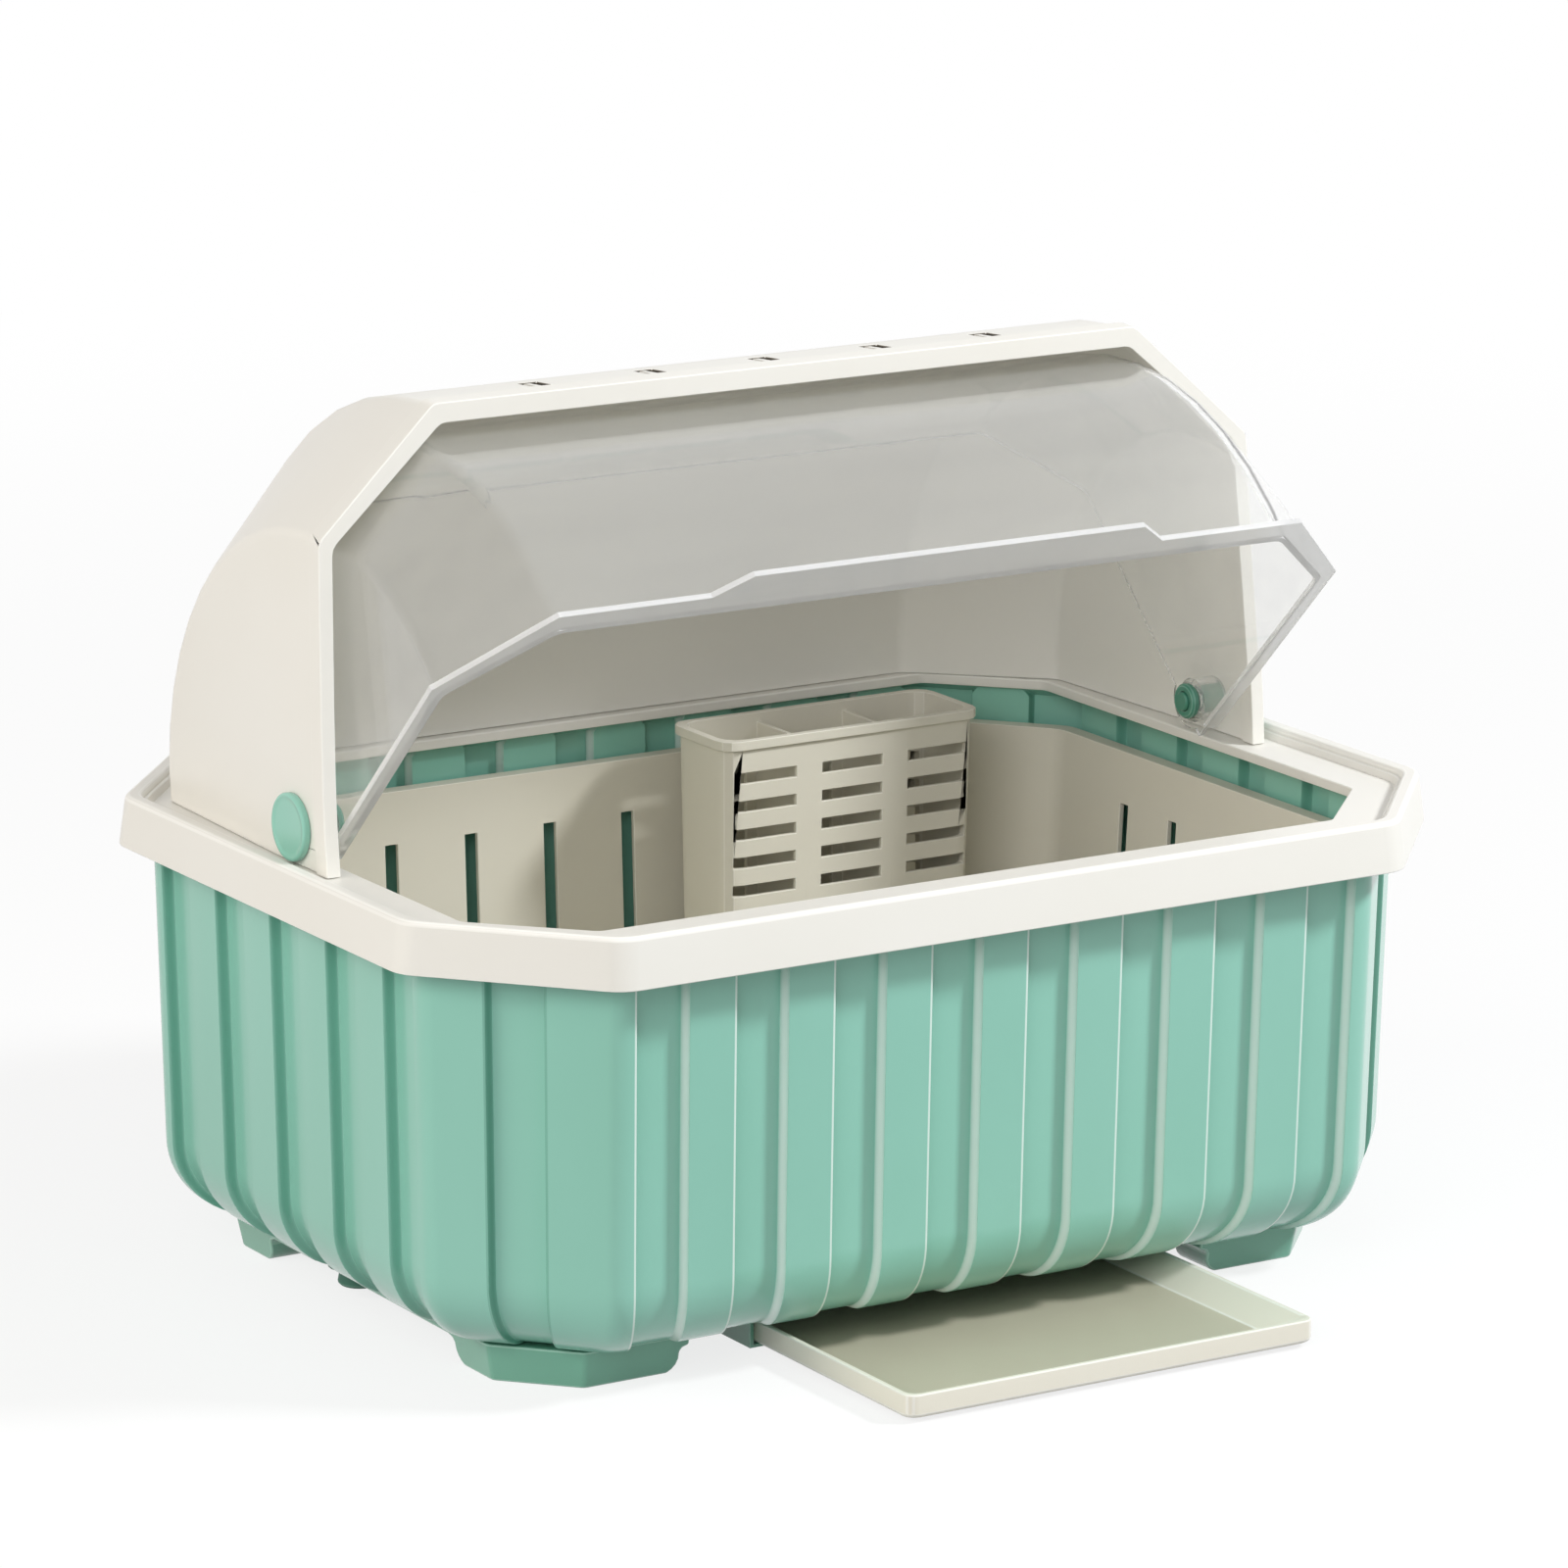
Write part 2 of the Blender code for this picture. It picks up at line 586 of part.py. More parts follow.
# Drip tray and runners
def build_tray(parent, cream):
    def ring(distance, z):
        corners = rectangle(distance, TRAY_WIDTH - distance, distance, TRAY_LENGTH - distance)
        shifted = [(x + TRAY_X - TRAY_WIDTH / 2, y - TRAY_FRONT) for x, y in corners]
        return at_height(rounded(shifted, TRAY_RADIUS, 3), z)

    top = TRAY_LIFT + TRAY_HEIGHT
    inner_floor = TRAY_LIFT + TRAY_WALL
    rings = [
        ring(TRAY_FOOT_EDGE, TRAY_LIFT),
        ring(0.0, TRAY_LIFT + TRAY_FOOT_EDGE),
        ring(0.0, top),
        ring(TRAY_WALL, top),
        ring(TRAY_WALL + TRAY_SLOPE, inner_floor),
    ]
    make_object("drip_tray", lofted(rings), parent, cream)


def build_runners(parent, green):
    # A Z section hung under the floor: fixing flange outwards, lip inwards under the tray.
    web = TRAY_WIDTH / 2 + RUN_GAP
    top = TUB_FLOOR - FIT_GAP
    lip_top = TRAY_LIFT - FIT_GAP
    lip_low = lip_top - RUNNER_THICK
    section = [
        (web - RUNNER_LIP, lip_low),
        (web + RUNNER_WEB, lip_low),
        (web + RUNNER_WEB, top - RUNNER_THICK),
        (web + RUNNER_FLANGE, top - RUNNER_THICK),
        (web + RUNNER_FLANGE, top),
        (web, top),
        (web, lip_top),
        (web - RUNNER_LIP, lip_top),
    ]
    slanted = [(min(x, web + RUNNER_WEB), z) for x, z in section]
    for side, sign in (("left", -1), ("right", 1)):
        rings = []
        lead_end = RUNNER_LEAD - RUNNER_FRONT
        for outline, y in ((slanted, -RUNNER_FRONT), (section, lead_end), (section, RUNNER_REAR)):
            rings.append([(TRAY_X + sign * x, y, z) for x, z in outline])
        make_object(f"tray_runner_{side}", lofted(rings), parent, green)


# Drain basket
def basket_insets():
    rim = tub_drop_inset(BASKET_RIM) + GROOVE_DEPTH + TUB_WALL + BASKET_GAP
    wall_top = rim + BASKET_RIM_WIDTH
    return rim, wall_top, wall_top + BASKET_DRAFT


def build_basket(parent, cream):
    def ring(distance, z):
        return at_height(rounded(octagon(inset(COLLAR_OUTLINE, distance)), BASKET_CORNER_RADIUS, 2), z)

    rim, wall_top, wall_low = basket_insets()
    quarter = pi / 4
    bend = []
    for thickness in (0.0, BASKET_WALL):
        reach = BASKET_BEND - thickness
        centre = (wall_low + BASKET_BEND, BASKET_FLOOR + BASKET_BEND)
        angles = [quarter * step for step in range(3)]
        steps = [(centre[0] - reach * sin(a), centre[1] - reach * cos(a)) for a in angles]
        bend.append([ring(distance, z) for distance, z in steps])
    rings = bend[0]
    rings.append(ring(wall_top, BASKET_RIM - BASKET_RIM_HEIGHT))
    rings.append(ring(rim, BASKET_RIM - BASKET_RIM_HEIGHT))
    rings.append(ring(rim, BASKET_RIM))
    rings.append(ring(wall_top + BASKET_WALL, BASKET_RIM))
    rings += reversed(bend[1])
    basket = make_object("drain_basket", lofted(rings), parent, cream)
    leg_low = TUB_INNER_FLOOR + FIT_GAP
    leg_high = BASKET_FLOOR + BASKET_WALL / 2
    legs = []
    leg_x = COLLAR_LENGTH * BASKET_LEG_X_SHARE
    leg_y = COLLAR_DEPTH * BASKET_LEG_Y_SHARE
    for x in (-leg_x, 0.0, leg_x):
        for y in (-leg_y, leg_y):
            legs.append(round_post(x, y, BASKET_LEG / 2, leg_low, leg_high, 12))
    combine(basket, together(legs), "UNION", parent, "basket_legs")
    floor_low = BASKET_FLOOR - CUT_OVERRUN
    floor_high = BASKET_INNER_FLOOR + CUT_OVERRUN
    slots = []
    half = SLOT_WIDTH / 2
    slot_length = COLLAR_DEPTH * FLOOR_SLOT_SHARE
    for x in spread(FLOOR_COLUMN_COUNT, COLLAR_LENGTH * FLOOR_COLUMN_SHARE):
        for y in spread(FLOOR_ROW_COUNT, COLLAR_DEPTH * FLOOR_ROW_SHARE):
            front = y - slot_length / 2
            slots.append(box(x - half, x + half, front, front + slot_length, floor_low, floor_high))
    half_x, half_y = inset(COLLAR_OUTLINE, wall_low)[:2]
    reach = BASKET_DRAFT + CUT_OVERRUN
    for x in spread(LONG_WALL_SLOT_COUNT, COLLAR_LENGTH * LONG_WALL_SHARE):
        for sign in (-1, 1):
            ends = sorted((sign * (half_y - reach), sign * (half_y + reach)))
            slots.append(box(x - half, x + half, *ends, WALL_SLOT_LOW, WALL_SLOT_HIGH))
    for y in spread(SIDE_WALL_SLOT_COUNT, COLLAR_DEPTH * SIDE_WALL_SHARE):
        for sign in (-1, 1):
            ends = sorted((sign * (half_x - reach), sign * (half_x + reach)))
            slots.append(box(*ends, y - half, y + half, WALL_SLOT_LOW, WALL_SLOT_HIGH))
    combine(basket, together(slots), "DIFFERENCE", parent, "basket_slots")


# Plate rack
def build_rack(parent, cream):
    length = RACK_TOOTH_COUNT * RACK_PITCH
    base = INSERT_FLOOR
    shoulder = base + RACK_RAIL
    tip = shoulder + RACK_TOOTH_HEIGHT
    comb = [(-RACK_LEFT, base), (length - RACK_LEFT, base), (length - RACK_LEFT, shoulder)]
    for x in reversed(spread(RACK_TOOTH_COUNT, RACK_PITCH, length / 2 - RACK_LEFT)):
        comb.append((x + RACK_TOOTH_FOOT / 2, shoulder))
        comb.append((x + RACK_TOOTH_TIP / 2, tip - RACK_TOOTH_TIP))
        comb.append((x, tip))
        comb.append((x - RACK_TOOTH_TIP / 2, tip - RACK_TOOTH_TIP))
        comb.append((x - RACK_TOOTH_FOOT / 2, shoulder))
    comb.append((-RACK_LEFT, shoulder))
    middles = (-RACK_COMB_Y, RACK_COMB_Y)
    combs = [extruded(comb, y - RACK_THICK / 2, y + RACK_THICK / 2, "Y") for y in middles]
    rack = make_object("plate_rack", together(combs), parent, cream)
    bars = []
    bar_pitch = (length - RACK_BAR_WIDTH - RACK_TOOTH_TIP) / (RACK_BAR_COUNT - 1)
    for x in spread(RACK_BAR_COUNT, bar_pitch, length / 2 - RACK_LEFT):
        left = x - RACK_BAR_WIDTH / 2
        bars.append(box(left, left + RACK_BAR_WIDTH, *middles, base, base + RACK_BAR_HEIGHT))
    combine(rack, together(bars), "UNION", parent, "rack_bars")


# Cutlery holder
def build_holder(parent, cream):
    def ring(distance, z, radius=HOLDER_RADIUS):
        sides = (HOLDER_LEFT + distance, HOLDER_RIGHT - distance)
        corners = rectangle(*sides, HOLDER_FRONT + distance, HOLDER_REAR - distance)
        return at_height(rounded(corners, radius, 3), z)

    base = INSERT_FLOOR
    top = base + HOLDER_HEIGHT
    band = top - HOLDER_RIM_HEIGHT
    rings = [
        ring(HOLDER_RIM + HOLDER_TAPER, base),
        ring(HOLDER_RIM, band),
        ring(0.0, band),
        ring(0.0, top),
        ring(HOLDER_RIM + HOLDER_WALL, top),
        ring(HOLDER_RIM + HOLDER_TAPER + HOLDER_WALL, base + HOLDER_WALL),
    ]
    holder = make_object("cutlery_holder", lofted(rings), parent, cream)
    cell = HOLDER_WIDTH / HOLDER_CELL_COUNT
    skin = HOLDER_RIM + HOLDER_WALL / 2
    walls = []
    middle_x = (HOLDER_LEFT + HOLDER_RIGHT) / 2
    middle_y = (HOLDER_FRONT + HOLDER_REAR) / 2
    for x in spread(HOLDER_CELL_COUNT - 1, cell, middle_x):
        left = x - HOLDER_WALL / 2
        ends = (HOLDER_FRONT + skin, HOLDER_REAR - skin)
        walls.append(box(left, left + HOLDER_WALL, *ends, base + HOLDER_WALL / 2, band))
    combine(holder, together(walls), "UNION", parent, "holder_partitions")
    cuts = []
    for middle in spread(HOLDER_CELL_COUNT, cell, middle_x):
        left = middle - HOLDER_SLOT_LENGTH / 2
        hole_low = base - CUT_OVERRUN
        hole_high = base + HOLDER_WALL + CUT_OVERRUN
        cuts.append(round_post(middle, middle_y, HOLDER_HOLE, hole_low, hole_high, 12))
        for row in range(HOLDER_ROW_COUNT):
            high = top - HOLDER_SLOT_TOP - row * HOLDER_SLOT_PITCH
            low = high - HOLDER_SLOT_HEIGHT
            ends = (HOLDER_FRONT - CUT_OVERRUN, HOLDER_REAR + CUT_OVERRUN)
            cuts.append(box(left, left + HOLDER_SLOT_LENGTH, *ends, low, high))
    combine(holder, together(cuts), "DIFFERENCE", parent, "holder_slots")


# Collar
def build_collar(parent, cream):
    def outer(distance, z):
        return at_height(rounded(octagon(inset(COLLAR_OUTLINE, distance)), COLLAR_CORNER_RADIUS, 4), z)

    def opening(grow, z):
        depth = OPENING_FRONT + OPENING_REAR
        outline = (OPENING_LENGTH / 2, depth / 2, OPENING_CUT_X, OPENING_CUT_Y)
        corners = octagon(inset(outline, -grow), (OPENING_REAR - OPENING_FRONT) / 2)
        return at_height(rounded(corners, OPENING_RADIUS, 4), z)

    bead_start = COLLAR_FLARE + BEAD_ROUND
    bead_end = COLLAR_FLARE + BEAD_WIDTH
    under_bead = COLLAR_TOP - COLLAR_WALL
    rings = [
        outer(0.0, SKIRT_BOTTOM),
        outer(COLLAR_FLARE, COLLAR_TOP - BEAD_ROUND),
        outer(bead_start, COLLAR_TOP),
        outer(bead_end - BEAD_ROUND - BEAD_SLOPE, COLLAR_TOP),
        outer(bead_end - BEAD_SLOPE, COLLAR_TOP - BEAD_ROUND),
        outer(bead_end, LEDGE_TOP),
        opening(0.0, LEDGE_TOP),
        opening(0.0, LEDGE_TOP - OPENING_LIP),
        opening(COLLAR_WALL, LEDGE_TOP - OPENING_LIP),
        opening(COLLAR_WALL, LEDGE_UNDER),
        outer(bead_end + COLLAR_WALL, LEDGE_UNDER),
        outer(bead_end - BEAD_SLOPE - BEAD_ROUND + COLLAR_WALL, under_bead),
        outer(COLLAR_FLARE + COLLAR_WALL, under_bead),
        outer(COLLAR_WALL, SKIRT_BOTTOM),
    ]
    make_object("collar", lofted(rings, looped=True), parent, cream)


# Hood
def barrel(half_pad, pad_radius, half_high, cut_start, half_top, radius, corner_radius, segments):
    side = [(half_pad, pad_radius), (half_high, cut_start), (half_top, radius)]
    corners = side + [(-x, r) for x, r in reversed(side)]
    return turned(rounded(corners, corner_radius, 2, closed=False), segments, (PIVOT_Y, PIVOT_Z))


def leaning_box(near, far, low, high, half_width):
    # A block before the pivot line, square to the hood's leaning front plane.
    ahead = Vector((-cos(HOOD_LEAN), sin(HOOD_LEAN)))
    upward = Vector((sin(HOOD_LEAN), cos(HOOD_LEAN)))
    corners = []
    for distance, height in ((near, low), (far, low), (far, high), (near, high)):
        point = ahead * distance + upward * height
        corners.append((PIVOT_Y + point.x, PIVOT_Z + point.y))
    return extruded(corners, -half_width, half_width, "X")


def hood_barrel(grow_side, grow_top):
    slope = (grow_side + grow_top) / 2
    return barrel(
        HOOD_HALF_LOW + grow_side,
        HOOD_PAD_RADIUS,
        HOOD_HALF_HIGH + grow_side,
        HOOD_CUT_START + slope * EIGHTH_TURN,
        HOOD_HALF_TOP + slope * EIGHTH_TURN,
        HOOD_RADIUS + grow_top,
        HOOD_CORNER_RADIUS,
        HOOD_SEGMENT_COUNT,
    )


def build_hood(parent, cream):
    reach = HOOD_HALF_LOW + HOOD_RADIUS
    lip_back = HOOD_FRONT - HOOD_LIP_DEPTH
    hood = make_object("hood", hood_barrel(0.0, 0.0), parent, cream)
    lip = combine(hood, hood_barrel(HOOD_LIP, HOOD_LIP), "UNION", parent, "hood_lip_form")
    lip_slab = leaning_box(lip_back, HOOD_FRONT + CUT_OVERRUN, -reach, reach, reach)
    combine(lip, lip_slab, "INTERSECT", parent, "hood_lip_slab")
    inside = combine(hood, hood_barrel(-HOOD_WALL, -HOOD_WALL), "DIFFERENCE", parent, "hood_inside")
    stop = leaning_box(lip_back, reach, -reach, reach, reach)
    combine(inside, stop, "DIFFERENCE", parent, "hood_inside_stop")
    mouth = hood_barrel(-HOOD_WALL - HOOD_LIP_IN_SIDE, -HOOD_WALL - HOOD_LIP_IN_TOP)
    combine(hood, mouth, "DIFFERENCE", parent, "hood_mouth")
    ahead = leaning_box(HOOD_FRONT, reach, -reach, reach, reach)
    combine(hood, ahead, "DIFFERENCE", parent, "hood_front_cut")
    foot = LEDGE_TOP + FIT_GAP
    below = box(-reach, reach, PIVOT_Y - reach, PIVOT_Y + reach, foot - reach, foot)
    combine(hood, below, "DIFFERENCE", parent, "hood_foot_cut")
    top = PIVOT_Z + HOOD_RADIUS
    holes = []
    vent_low = top - HOOD_WALL - CUT_OVERRUN
    vent_ends = (VENT_Y - VENT_LENGTH / 2, VENT_Y + VENT_LENGTH / 2)
    for x in spread(VENT_COUNT, HOOD_HALF_TOP * VENT_PITCH_SHARE):
        left = x - VENT_WIDTH / 2
        holes.append(box(left, left + VENT_WIDTH, *vent_ends, vent_low, top + CUT_OVERRUN))
    bore = SHAFT_RADIUS + FIT_GAP
    for sign in (-1, 1):
        inner = sign * (HOOD_HALF_LOW - HOOD_WALL - CUT_OVERRUN)
        outer = sign * (HOOD_HALF_LOW + CUT_OVERRUN)
        holes.append(turned([(inner, bore), (outer, bore)], TURNED_SEGMENT_COUNT, (PIVOT_Y, PIVOT_Z)))
    combine(hood, together(holes), "DIFFERENCE", parent, "hood_holes")


# Clear cover
def build_cover(parent, clear):
    # Drawn closed, about its own hinge line: y and z are measured from the pivot.
    def shell(grow):
        slack = (COVER_FLANGE - grow) * EIGHTH_TURN
        side = [
            (EAR_OUTER + grow, EAR_RADIUS),
            (EAR_OUTER + grow, COVER_CUT_START - slack),
            (COVER_HALF_FRONT - slack, COVER_REACH - COVER_FLANGE + grow),
        ]
        corners = side + [(-x, r) for x, r in reversed(side)]
        profile = rounded(corners, COVER_CORNER_RADIUS, 2, closed=False)
        return turned(profile, COVER_SEGMENT_COUNT, (0.0, 0.0))

    cover = make_object("clear_cover", shell(0.0), parent, clear)
    combine(cover, shell(-COVER_WALL), "DIFFERENCE", parent, "cover_inside")
    reach = COVER_HALF_LENGTH + COVER_REACH
    below = box(-reach, reach, -reach, reach, -reach, -COVER_DROP)
    combine(cover, below, "DIFFERENCE", parent, "cover_rim_cut")
    behind = box(-reach, reach, COVER_REAR, reach, -reach, reach)
    combine(cover, behind, "DIFFERENCE", parent, "cover_rear_cut")
    half = COVER_HALF_LENGTH
    skin = COVER_WALL / 2
    outer = [(half, 0.0), (half, -COVER_CUT_START), (COVER_HALF_FRONT, -COVER_REACH)]
    outer.append((GRIP_HALF_LENGTH + GRIP_SLANT, -COVER_REACH))
    outer.append((GRIP_HALF_LENGTH, -COVER_REACH - GRIP_DEPTH))
    outer += [(-x, y) for x, y in reversed(outer)]
    slack = (COVER_FLANGE + skin) * EIGHTH_TURN
    side = EAR_OUTER - skin
    inner = [(side, 0.0), (side, slack - COVER_CUT_START)]
    inner.append((COVER_HALF_FRONT - slack, COVER_FLANGE + skin - COVER_REACH))
    inner += [(-x, y) for x, y in reversed(inner)]
    flange = extruded(outer + inner[::-1], -COVER_DROP, COVER_FLANGE_THICK - COVER_DROP)
    combine(cover, flange, "UNION", parent, "cover_flange")
    boss_end = HOOD_HALF_LOW - HOOD_WALL - FIT_GAP
    ears = []
    bores = []
    for sign in (-1, 1):
        ear = [(sign * EAR_INNER, EAR_RADIUS), (sign * EAR_OUTER, EAR_RADIUS)]
        ears.append(turned(ear, TURNED_SEGMENT_COUNT, (0.0, 0.0)))
        bore = [
            (sign * (EAR_INNER - CUT_OVERRUN), PIN_RADIUS + FIT_GAP),
            (sign * EAR_OUTER, PIN_RADIUS + FIT_GAP),
            (sign * EAR_OUTER, SHAFT_RADIUS + FIT_GAP),
            (sign * (boss_end + CUT_OVERRUN), SHAFT_RADIUS + FIT_GAP),
        ]
        bores.append(turned(bore, TURNED_SEGMENT_COUNT, (0.0, 0.0)))
    combine(cover, together(ears), "UNION", parent, "cover_ears")
    bosses = []
    for sign in (-1, 1):
        ends = [(sign * (EAR_OUTER - COVER_WALL / 2), BOSS_RADIUS), (sign * boss_end, BOSS_RADIUS)]
        bosses.append(turned(ends, TURNED_SEGMENT_COUNT, (0.0, 0.0)))
    combine(cover, together(bosses), "UNION", parent, "cover_bosses")
    combine(cover, together(bores), "DIFFERENCE", parent, "cover_bores")


# Pivot buttons
def build_pivots(parent, green):
    seat = HOOD_HALF_LOW + FIT_GAP
    shoulder = EAR_OUTER + FIT_GAP
    clip_outer = EAR_INNER - FIT_GAP
    clip_inner = clip_outer - CLIP_THICK
    pin_end = clip_inner - PIN_PROUD
    button = [
        (seat + BUTTON_THICK - BUTTON_DISH, BUTTON_RADIUS / 3),
        (seat + BUTTON_THICK, BUTTON_RADIUS - 2 * BUTTON_EDGE),
        (seat + BUTTON_THICK - BUTTON_EDGE / 2, BUTTON_RADIUS - BUTTON_EDGE / 2),
        (seat + BUTTON_THICK - 2 * BUTTON_EDGE, BUTTON_RADIUS),
        (seat, BUTTON_RADIUS),
        (seat, SHAFT_RADIUS),
        (shoulder, SHAFT_RADIUS),
        (shoulder, PIN_RADIUS),
        (pin_end + BUTTON_DISH, PIN_RADIUS),
        (pin_end, PIN_RADIUS - BUTTON_DISH),
    ]
    bore = PIN_RADIUS + FIT_GAP
    clip = [
        (clip_outer, bore),
        (clip_outer, CLIP_RADIUS),
        (clip_inner + CLIP_CHAMFER, CLIP_RADIUS),
        (clip_inner, CLIP_RADIUS - CLIP_CHAMFER),
        (clip_inner, bore),
    ]
    angles = [2 * pi * index / TURNED_SEGMENT_COUNT for index in range(TURNED_SEGMENT_COUNT)]
    for side, sign in (("left", -1), ("right", 1)):
        flipped = [(sign * x, radius) for x, radius in button]
        cap = turned(flipped, TURNED_SEGMENT_COUNT, (PIVOT_Y, PIVOT_Z))
        make_object(f"pivot_button_{side}", cap, parent, green)
        rings = []
        for x, r in clip:
            rings.append([(sign * x, PIVOT_Y + r * cos(a), PIVOT_Z + r * sin(a)) for a in angles])
        make_object(f"pivot_clip_{side}", lofted(rings, looped=True), parent, green)


def main():
    for item in list(bpy.data.objects):
        bpy.data.objects.remove(item, do_unlink=True)
    cream = plastic("cream_plastic", (0.80, 0.76, 0.64), 0.35)
    inner_cream = plastic("basket_plastic", (0.78, 0.74, 0.63), 0.42)
    green = plastic("green_plastic", (0.23, 0.52, 0.41), 0.25)
    dark_green = plastic("plug_rubber", (0.05, 0.16, 0.11), 0.6)
    clear = plastic("clear_plastic", (0.92, 0.94, 0.93), 0.05, alpha=0.3, transmission=1.0)
    drainer = empty("drainer", None, (0.0, CENTRE_SHIFT, 0.0))
    build_tub(drainer, green)
    build_plug(drainer, dark_green)
    build_feet(drainer, green)
    build_tray(empty("tray_slide", drainer, (0.0, 0.0, 0.0)), cream)
    build_runners(drainer, green)
    build_basket(drainer, inner_cream)
    build_rack(drainer, inner_cream)
    build_holder(drainer, inner_cream)
    build_collar(drainer, cream)
    build_hood(drainer, cream)
    hinge = empty("cover_hinge", drainer, (0.0, PIVOT_Y, PIVOT_Z), -COVER_OPEN_ANGLE)
    build_cover(hinge, clear)
    build_pivots(drainer, green)


main()
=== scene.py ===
import json
from math import atan2, copysign, cos, hypot, pi, radians, sin, tan

import bmesh
import bpy
from mathutils import Matrix, Vector


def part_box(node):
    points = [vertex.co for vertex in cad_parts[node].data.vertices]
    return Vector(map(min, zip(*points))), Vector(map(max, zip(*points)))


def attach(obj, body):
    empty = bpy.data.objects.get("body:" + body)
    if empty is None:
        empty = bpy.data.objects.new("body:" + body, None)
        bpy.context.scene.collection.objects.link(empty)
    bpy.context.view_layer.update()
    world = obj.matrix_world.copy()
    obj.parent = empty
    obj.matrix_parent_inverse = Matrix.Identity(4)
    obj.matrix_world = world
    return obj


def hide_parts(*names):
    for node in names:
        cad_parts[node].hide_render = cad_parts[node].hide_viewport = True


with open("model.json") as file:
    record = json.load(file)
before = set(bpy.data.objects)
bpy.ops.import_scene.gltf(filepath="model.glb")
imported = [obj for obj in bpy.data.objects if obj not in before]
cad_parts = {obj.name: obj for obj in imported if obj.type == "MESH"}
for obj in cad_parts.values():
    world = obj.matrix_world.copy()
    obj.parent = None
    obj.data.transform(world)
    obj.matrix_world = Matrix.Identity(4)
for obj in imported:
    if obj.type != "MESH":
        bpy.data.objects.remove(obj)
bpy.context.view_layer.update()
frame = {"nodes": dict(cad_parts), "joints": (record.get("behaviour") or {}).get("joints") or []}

# Covered dish drainer: ribbed tub, collar, hood, clear flip cover, basket, rack, holder and tray.
# Everything is in metres in the frame's own place, so a piece goes where its CAD node is.


# Node trees: a wire is an output socket that takes part in Python expressions
class Wire:
    def __init__(self, graph, socket):
        self.graph = graph
        self.socket = socket

    def out(self, name):
        return Wire(self.graph, self.socket.node.outputs[name])

    def maths(self, operation, *values):
        sockets = dict(enumerate(values))
        return self.graph.node("ShaderNodeMath", {"operation": operation}, sockets)

    def __add__(self, other):
        return self.maths("ADD", self, other)

    def __radd__(self, other):
        return self.maths("ADD", other, self)

    def __sub__(self, other):
        return self.maths("SUBTRACT", self, other)

    def __rsub__(self, other):
        return self.maths("SUBTRACT", other, self)

    def __mul__(self, other):
        return self.maths("MULTIPLY", self, other)

    def __rmul__(self, other):
        return self.maths("MULTIPLY", other, self)

    def __abs__(self):
        return self.maths("ABSOLUTE", self)

    def between(self, low, high, kind="LINEAR"):  # 0 at low, 1 at high
        sockets = {"Value": self, "From Min": low, "From Max": high}
        return self.graph.node("ShaderNodeMapRange", {"interpolation_type": kind}, sockets)


class Graph:
    def __init__(self, tree):
        self.tree = tree

    def feed(self, socket, value):
        if isinstance(value, Wire):
            self.tree.links.new(value.socket, socket)
        elif isinstance(value, list):
            for wire in value:
                self.tree.links.new(wire.socket, socket)
        else:
            socket.default_value = value

    def node(self, kind, settings=None, sockets=None, out=0):
        made = self.tree.nodes.new(kind)
        for name, value in (settings or {}).items():
            setattr(made, name, value)
        for key, value in (sockets or {}).items():
            self.feed(made.inputs[key], value)
        return Wire(self, made.outputs[out]) if made.outputs else None

    def blend(self, factor, first, second):  # colours
        sockets = {0: factor, 6: first, 7: second}
        return self.node("ShaderNodeMix", {"data_type": "RGBA"}, sockets, 2)

    def noise(self, place, scale, detail=2.0, roughness=0.5):
        sockets = {"Vector": place, "Scale": scale, "Detail": detail, "Roughness": roughness}
        return self.node("ShaderNodeTexNoise", {}, sockets)

    def stretched(self, place, scale):
        return self.node("ShaderNodeMapping", {}, {"Vector": place, "Scale": scale})

    def attribute(self, name, kind="FLOAT"):  # a named attribute in a geometry tree
        made = self.tree.nodes.new("GeometryNodeInputNamedAttribute")
        made.data_type = kind
        made.inputs["Name"].default_value = name
        usable = [socket for socket in made.outputs if socket.enabled]
        return Wire(self, next(socket for socket in usable if socket.name == "Attribute"))


def newMaterial(name):  # with its graph and the inputs of its shader and its output
    material = bpy.data.materials.new(name)
    material.use_nodes = True
    nodes = material.node_tree.nodes
    shader, output = nodes["Principled BSDF"], nodes["Material Output"]
    return material, Graph(material.node_tree), shader.inputs, output.inputs


def shaderWire(material, graph):
    return Wire(graph, material.node_tree.nodes["Principled BSDF"].outputs[0])


def solid(colour):
    return (*colour, 1.0)


def objectPlace(graph):
    return graph.node("ShaderNodeTexCoord").out("Object")


def marked(graph, name):  # an attribute of the mesh, as a number
    return graph.node("ShaderNodeAttribute", {"attribute_name": name}).out("Fac")


def bumped(graph, strength, distance, height, under=None):
    sockets = {"Strength": strength, "Distance": distance, "Height": height}
    if under:
        sockets["Normal"] = under
    return graph.node("ShaderNodeBump", {}, sockets)


